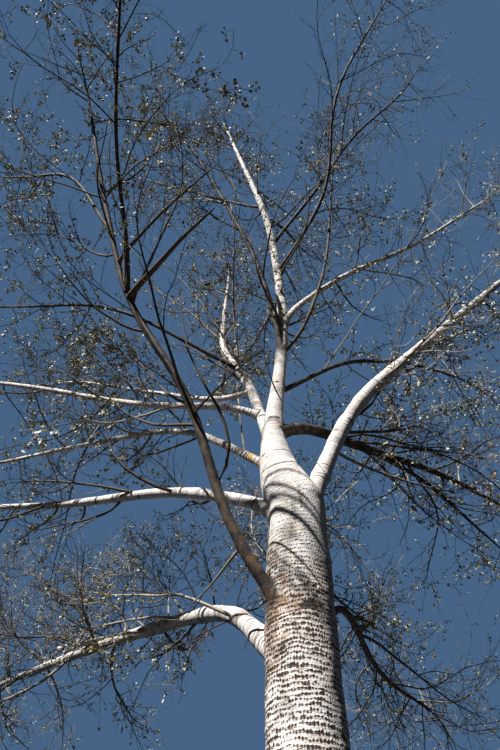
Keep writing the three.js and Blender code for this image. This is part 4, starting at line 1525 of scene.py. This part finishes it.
def poplar_bark(look):
    """White poplar bark, grown: chalky skin that splits into rows of diamond-shaped pores.
    It gives the eye a matt cream-white with dark rows, denser and rougher on old wood."""
    m = new_material("white_poplar_bark")
    place, age, dark, tan = read_bark(m)
    x, y, z = add(m, "SeparateXYZ", [place]).node.outputs
    # Swells of 200 mm, patches of 60 mm and grain of 6 mm
    broad, patch, fine = (
        add(m, "TexNoise", {"Vector": place, "Scale": scale, "Detail": detail, "Roughness": rise})
        for scale, detail, rise in ((5.0, 3.0, 0.55), (17.0, 4.0, 0.6), (160.0, 4.0, 0.65))
    )
    # Streaks 110 mm long and 11 mm high, and groups of pores 90 mm long and 24 mm high
    streaks, groups = (
        add(m, "TexNoise", {
            "Vector": add(m, "VectorMath", [place, scale], operation="MULTIPLY"),
            "Scale": 1.0, "Detail": detail, "Roughness": rise,
        })
        for scale, detail, rise in (((9.0, 9.0, 95.0), 4.0, 0.6), ((11.0, 11.0, 42.0), 2.0, 0.5))
    )
    # Rows: the height in rows, with a wobble
    wobble = add(m, "Math", [patch, 0.6], operation="MULTIPLY")
    swing = add(m, "Math", [broad, 3.0, wobble], operation="MULTIPLY_ADD")
    height = add(m, "Math", [z, 1 / look.row_spacing, swing], operation="MULTIPLY_ADD")
    number, off_row = cut_in_cells(m, height)
    # Cells round the limb: the angle, shifted by a random amount in each row
    count = float(look.pores_round)
    turn = add(m, "Math", [y, x], operation="ARCTAN2")
    shift = add(m, "TexWhiteNoise", {"W": number}, noise_dimensions="1D")
    shift = add(m, "Math", [shift, count], operation="MULTIPLY")
    around = add(m, "Math", [turn, count / (2 * math.pi), shift], operation="MULTIPLY_ADD")
    around = add(m, "Math", [around, count], operation="FLOORED_MODULO")
    cell, off_cell = cut_in_cells(m, around)
    # A pore is where the two distances together are small: a diamond, larger on old bark
    key = add(m, "CombineXYZ", [cell, number])
    dealt = add(m, "TexWhiteNoise", {"Vector": key}, out=1, noise_dimensions="3D")
    aside, above, big = add(m, "SeparateXYZ", [dealt]).node.outputs
    across = off_pore(m, off_cell, aside, 0.25)
    upright = off_pore(m, off_row, above, 0.12)
    jag = add(m, "MapRange", [fine, 0.3, 0.7, -0.16, 0.16])
    upright = add(m, "Math", [upright, 2.9, jag], operation="MULTIPLY_ADD")
    diamond = add(m, "Math", [across, 1.5, upright], operation="MULTIPLY_ADD")
    crowd = add(m, "MapRange", [groups, 0.36, 0.58, 0.32, 1.22])
    wild = add(m, "MapRange", [big, 0.0, 1.0, 0.35, 1.25])
    older = add(m, "Math", [tan, 0.25, age], operation="MULTIPLY_ADD", use_clamp=True)
    size = add(m, "Math", [older, crowd], operation="MULTIPLY")
    size = add(m, "Math", [size, wild], operation="MULTIPLY")
    edge = add(m, "Math", [size, diamond], operation="SUBTRACT")
    pore = add(m, "MapRange", [edge, -0.06, 0.1], interpolation_type="SMOOTHSTEP")
    rim = add(m, "MapRange", [edge, -0.7, 0.0, 0.0, 0.7], interpolation_type="SMOOTHSTEP")
    # Thin cracks join the pores of a row
    thread = add(m, "Math", [off_row], operation="ABSOLUTE")
    thread = add(m, "Math", [fine, 0.12, thread], operation="MULTIPLY_ADD")
    thread = add(m, "MapRange", [thread, 0.17, 0.1])
    joined = add(m, "MapRange", [streaks, 0.48, 0.6])
    thread = add(m, "Math", [thread, joined], operation="MULTIPLY")
    thread = add(m, "Math", [thread, size], operation="MULTIPLY", use_clamp=True)
    # Small pores, 16 mm apart round the limb and 10 mm up it, lie between the rows
    close = add(m, "VectorMath", [place, (62.0, 62.0, 95.0)], operation="MULTIPLY")
    dots = add(m, "TexVoronoi", {"Vector": close, "Scale": 1.0})
    dots = add(m, "MapRange", [dots, 0.3, 0.16], interpolation_type="SMOOTHSTEP")
    dotted = add(m, "MapRange", [patch, 0.46, 0.6, 0.0, 0.9])
    dots = add(m, "Math", [dots, dotted], operation="MULTIPLY")
    marks = add(m, "Math", [pore, dots], operation="MAXIMUM")
    marks = add(m, "Math", [marks, thread], operation="MAXIMUM")
    # How much of each colour lies on the white skin, from the lowest layer up
    cream = add(m, "MapRange", [broad, 0.42, 0.66, 0.0, 0.8])
    lines = add(m, "MapRange", [streaks, 0.52, 0.7, 0.0, 0.7])
    lined = add(m, "Math", [age, 0.7, 0.3], operation="MULTIPLY_ADD")
    lines = add(m, "Math", [lines, lined], operation="MULTIPLY")
    flecks = add(m, "Math", [fine, 0.6, patch], operation="MULTIPLY_ADD")
    scaly = add(m, "MapRange", [flecks, 0.72, 0.88])
    brown = add(m, "Math", [tan, scaly], operation="MULTIPLY", use_clamp=True)
    corky = add(m, "Math", [rim, older], operation="MULTIPLY")
    # The darkness sign, torn bark and scars with painted shade in creases and joints, takes the dark colour
    torn_and_shaded = add(m, "Math", [fine, 0.9, dark], operation="MULTIPLY_ADD")
    torn_and_shaded = add(m, "MapRange", [torn_and_shaded, 0.62, 1.1], interpolation_type="SMOOTHSTEP")
    skin = rgba(look.white)
    for amount, values in (
        (cream, look.cream), (lines, look.weathered), (brown, look.tan), (corky, look.rim),
        (marks, look.pore), (torn_and_shaded, look.dark_bark_and_shade), (lichen_amount(m, tan, fine), look.lichen),
    ):
        skin = add(m, "Mix", {0: amount, 6: skin, 7: rgba(values)}, out=2, data_type="RGBA")
    tone = add(m, "MapRange", [fine, 0.3, 0.7, 0.84, 1.05])
    skin = add(m, "VectorMath", {0: skin, "Scale": tone}, operation="SCALE")
    roughness = add(m, "MapRange", [fine, 0.3, 0.7, 0.6, 0.85])
    # Pores stand in a raised corky rim, and folds and grain show in raking light
    relief = fine
    for pattern, high in ((rim, 1.8), (marks, -1.5), (streaks, 1.6), (patch, 1.5)):
        relief = add(m, "Math", [pattern, high, relief], operation="MULTIPLY_ADD")
    bump = add(m, "Bump", {"Strength": 0.85, "Distance": 0.004, "Height": relief})
    return finish_material(m, skin, roughness, bump)


def lichen_amount(m, tan, fine):
    """Where the tan sign runs above 1, ragged at its edge."""
    amount = add(m, "Math", [fine, 0.8, tan], operation="MULTIPLY_ADD")
    return add(m, "MapRange", [amount, 1.65, 1.85])


def young_bark(look):
    """Bark of young poplar boughs: thin brown skin with paler patches, small pores and
    tan scales near the foot. Its dark brown is partly painted shade for boughs seen from
    their shaded undersides. It gives the eye a dull dark brown with a grey sheen."""
    m = new_material("young_poplar_bark")
    place, _, dark, tan = read_bark(m)
    # Patches of 70 mm, grain of 5 mm, and pores 17 mm apart round the limb and 6 mm up it
    patch = add(m, "TexNoise", {"Vector": place, "Scale": 14.0, "Detail": 4.0, "Roughness": 0.6})
    fine = add(m, "TexNoise", {"Vector": place, "Scale": 220.0, "Detail": 3.0})
    close = add(m, "VectorMath", [place, (60.0, 60.0, 160.0)], operation="MULTIPLY")
    dots = add(m, "TexVoronoi", {"Vector": close, "Scale": 1.0})
    pale = add(m, "MapRange", [patch, 0.46, 0.66, 0.0, 0.6])
    scaly = add(m, "MapRange", [patch, 0.42, 0.56])
    brown = add(m, "Math", [tan, scaly], operation="MULTIPLY", use_clamp=True)
    pore = add(m, "MapRange", [dots, 0.3, 0.18, 0.0, 0.8])
    # The young colour is partly painted shade
    skin = rgba(look.young)
    # The darkness sign brings painted shade at a bough's foot and in its crevice
    for amount, values in (
        (pale, look.young_light), (brown, look.tan), (pore, look.pore), (dark, look.dark_bark_and_shade),
        (lichen_amount(m, tan, fine), look.lichen),
    ):
        skin = add(m, "Mix", {0: amount, 6: skin, 7: rgba(values)}, out=2, data_type="RGBA")
    relief = fine
    for pattern, high in ((pore, -0.7), (patch, 2.0)):
        relief = add(m, "Math", [pattern, high, relief], operation="MULTIPLY_ADD")
    bump = add(m, "Bump", {"Strength": 0.8, "Distance": 0.003, "Height": relief})
    roughness = add(m, "MapRange", [fine, 0.0, 1.0, 0.55, 0.85])
    return finish_material(m, skin, roughness, bump)


def plain_finish(name, values, roughness, specular=0.3):
    """One plain colour, as fine twigs and small leaves show."""
    return finish_material(new_material(name), rgba(values), roughness, specular=specular)


# Operators


class POPLAR_OT_trunk(bpy.types.Operator):
    """Bark of the trunk from the cut at the ground to the fork"""

    bl_idname = "poplar.trunk"
    bl_label = "Trunk bark"

    def execute(self, context):
        bark = poplar_bark(context.scene.poplar_bark)
        rows = np.linspace(0, JOIN_AT, TRUNK_ROWS)
        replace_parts(closed_tube("trunk_bark", *stem_tube(rows, TRUNK_AROUND), bark, "white_bark"), "trunk")
        start = JOIN_AT - JOIN_LAP
        rows = start + (STEM.length - start) * np.linspace(0, 1, LEADER_ROWS) ** LEADER_CROWDING
        piece = closed_tube("leader_bark", *stem_tube(rows, LEADER_AROUND), bark, "white_bark")
        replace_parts(piece, "leader_bough")
        return {"FINISHED"}


class POPLAR_OT_boughs(bpy.types.Operator):
    """Bark of the boughs, each flowing out of its parent and running on to its tip"""

    bl_idname = "poplar.boughs"
    bl_label = "Bough bark"

    def execute(self, context):
        white = bpy.data.materials["white_poplar_bark"]
        young = young_bark(context.scene.poplar_bark)
        for row in BOUGHS[1:]:
            limb = LIMBS[row[0]]
            # Thin boughs and those seen from their shaded side take the dark young bark, partly painted shade
            thick = limb.base > YOUNG_BELOW and limb.name not in SHADED_BOUGHS
            finish = (white, "white_bark") if thick else (young, "young_bark")
            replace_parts(closed_tube(f"{limb.name}_bark", *bough_tube(limb), *finish), f"{limb.name}_bough")
        return {"FINISHED"}


BRANCH_SIDES = 6
TWIG_SIDES = 3


class POPLAR_OT_twigs(bpy.types.Operator):
    """Branches, twigs and leafy shoots of the crown, by the masses' own rule"""

    bl_idname = "poplar.twigs"
    bl_label = "Twigs"

    def execute(self, context):
        look = context.scene.poplar_crown
        branches, twigs, shoots, owner = crown(look.branch_spacing, look.twig_spacing, look.shoot_spacing)
        # Twig skins are dull: brown cork on old twigs, grey skin on branches, wool on young ones
        dark = plain_finish("dark_twig_bark", look.twig_dark, 0.75)
        grey = plain_finish("grey_twig_bark", look.twig_light, 0.75)
        woolly = plain_finish("woolly_twig_bark", look.twig_pale, 0.85)
        slot = "twigs_and_leaves"
        masses = [f"{row[0]}_mass" for row in BOUGHS]
        pale = pale_ones(branches, BRANCH_SKIN_SEED)
        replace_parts(make_piece("branches", *branches.chosen(~pale).tube(BRANCH_SIDES), grey, slot), *masses)
        make_piece("pale_branches", *branches.chosen(pale).tube(BRANCH_SIDES), woolly, slot)
        pale = pale_ones(twigs, TWIG_SKIN_SEED)
        for name, group, chosen in (("twigs", twigs, pale), ("shoots", shoots, pale[owner])):
            make_piece(f"dark_{name}", *group.chosen(~chosen).tube(TWIG_SIDES), dark, slot)
            make_piece(f"pale_{name}", *group.chosen(chosen).tube(TWIG_SIDES), woolly, slot)
        return {"FINISHED"}


# Share of the sprays that each tint is dealt out to, from and to
TINTS = {"silver": (0.0, 0.22), "olive": (0.22, 0.6), "yellow": (0.6, 0.88), "brown": (0.88, 1.0)}


class POPLAR_OT_leaves(bpy.types.Operator):
    """Leaves in sprays, with the tints dealt out by spray"""

    bl_idname = "poplar.leaves"
    bl_label = "Leaves"

    def execute(self, context):
        look = context.scene.poplar_crown
        _, _, shoots, owner = crown(look.branch_spacing, look.twig_spacing, look.shoot_spacing)
        root, aim, side, length, spray = leaves_on(shoots, owner, look.leaf_length)
        no_quads = np.zeros((0, 4), int)
        for tint, (low, high) in TINTS.items():
            mine = (spray >= low) & (spray < high)
            points, faces = leaf_mesh(root[mine], aim[mine], side[mine], length[mine])
            # Leaf blades are thin and dull, woolly beneath, with a soft sheen
            leaf = plain_finish(f"{tint}_leaves", getattr(look, f"leaf_{tint}"), 0.55)
            make_piece(f"{tint}_leaves", points, no_quads, faces, leaf, "twigs_and_leaves", shaded=False)
        return {"FINISHED"}


FLOOR_HALF = 6.5
KEY_ENERGY = 8.2
KEY_ANGLE = math.radians(0.7)
KEY_COLOUR = (1.0, 0.98, 0.95)
SENSOR_WIDTH = 36.0
CLIP_START = 0.05
CLIP_END = 500.0


def plain_floor(look):
    """A square floor. Little light comes back up from it into the crown."""
    mesh = bpy.data.meshes.new("floor")
    corners = [(x * FLOOR_HALF, y * FLOOR_HALF, 0) for x, y in ((-1, -1), (1, -1), (1, 1), (-1, 1))]
    mesh.from_pydata(corners, [], [(0, 1, 2, 3)])
    # Matt paint, which shows the tree's shadow plainly
    mesh.materials.append(plain_finish("painted_floor", look.floor, 0.9))
    floor = linked("floor", mesh)
    floor.visible_diffuse = False
    return floor


def plain_backdrop(look):
    """A world that shows plain behind the tree, and lights it less than it shows."""
    world = bpy.data.worlds.new("backdrop")
    world.use_nodes = True
    world.node_tree.nodes.clear()
    fill, shown = (
        add(world, "Background", {"Color": rgba(values)}) for values in (look.fill, look.backdrop)
    )
    seen = add(world, "LightPath")
    mixed = add(world, "MixShader", [seen, fill, shown])
    add(world, "OutputWorld", {"Surface": mixed})
    return world


def key_light(look):
    """A sun that shines from the key's heading and rise."""
    key = bpy.data.lights.new("key", "SUN")
    key.energy = KEY_ENERGY
    key.angle = KEY_ANGLE
    key.color = KEY_COLOUR
    lamp = linked("key", key)
    towards = Vector(heading(math.degrees(look.sun_heading), math.degrees(look.sun_rise)))
    lamp.rotation_mode = "QUATERNION"
    lamp.rotation_quaternion = towards.to_track_quat("Z", "Y")
    return lamp


def camera_at_eye(look):
    """A camera at the eye that looks along +Y and up by its pitch."""
    camera = bpy.data.cameras.new("camera")
    camera.lens = look.lens
    camera.sensor_width = SENSOR_WIDTH
    camera.clip_start = CLIP_START
    camera.clip_end = CLIP_END
    eye = linked("camera", camera)
    eye.location = look.eye
    eye.rotation_euler = (math.radians(90) + look.pitch, 0, 0)
    return eye


class POPLAR_OT_stage(bpy.types.Operator):
    """Plain pale floor, plain backdrop, soft key light and the camera"""

    bl_idname = "poplar.stage"
    bl_label = "Stage"

    def execute(self, context):
        look, scene = context.scene.poplar_stage, context.scene
        floor = plain_floor(look)
        floor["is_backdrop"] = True
        scene.world = plain_backdrop(look)
        # Colours show as their hex values say
        scene.view_settings.view_transform = "Standard"
        lamp = key_light(look)
        eye = camera_at_eye(look)
        scene.camera = eye
        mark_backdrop(lamp, eye)
        return {"FINISHED"}


class POPLAR_PT_panel(bpy.types.Panel):
    """Lists the operators and all settings"""

    bl_label = "White poplar"
    bl_idname = "POPLAR_PT_panel"
    bl_space_type = "VIEW_3D"
    bl_region_type = "UI"
    bl_category = "Poplar"

    def draw(self, context):
        for operator in OPERATORS:
            self.layout.operator(operator.bl_idname)
        for group in (context.scene.poplar_bark, context.scene.poplar_crown, context.scene.poplar_stage):
            box = self.layout.box()
            for name in group.__annotations__:
                box.prop(group, name)


OPERATORS = [POPLAR_OT_trunk, POPLAR_OT_boughs, POPLAR_OT_twigs, POPLAR_OT_leaves, POPLAR_OT_stage]
SETTINGS = {"poplar_bark": PoplarBark, "poplar_crown": PoplarCrown, "poplar_stage": PoplarStage}


def register():
    """Registers the settings, the operators and the panel."""
    for group in SETTINGS.values():
        bpy.utils.register_class(group)
    for name, group in SETTINGS.items():
        setattr(bpy.types.Scene, name, bpy.props.PointerProperty(type=group))
    for item in [*OPERATORS, POPLAR_PT_panel]:
        bpy.utils.register_class(item)


def unregister():
    """Takes them out again, last ones first."""
    for item in [POPLAR_PT_panel, *reversed(OPERATORS)]:
        bpy.utils.unregister_class(item)
    for name, group in SETTINGS.items():
        delattr(bpy.types.Scene, name)
        bpy.utils.unregister_class(group)


def main():
    """Builds the tree and its stage, and lists the triangles."""
    register()
    bpy.ops.poplar.trunk()
    bpy.ops.poplar.boughs()
    bpy.ops.poplar.twigs()
    bpy.ops.poplar.leaves()
    bpy.ops.poplar.stage()
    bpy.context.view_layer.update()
    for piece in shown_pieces():
        print(piece.name, sum(len(p.vertices) - 2 for p in piece.data.polygons))


if __name__ == "__main__":
    main()
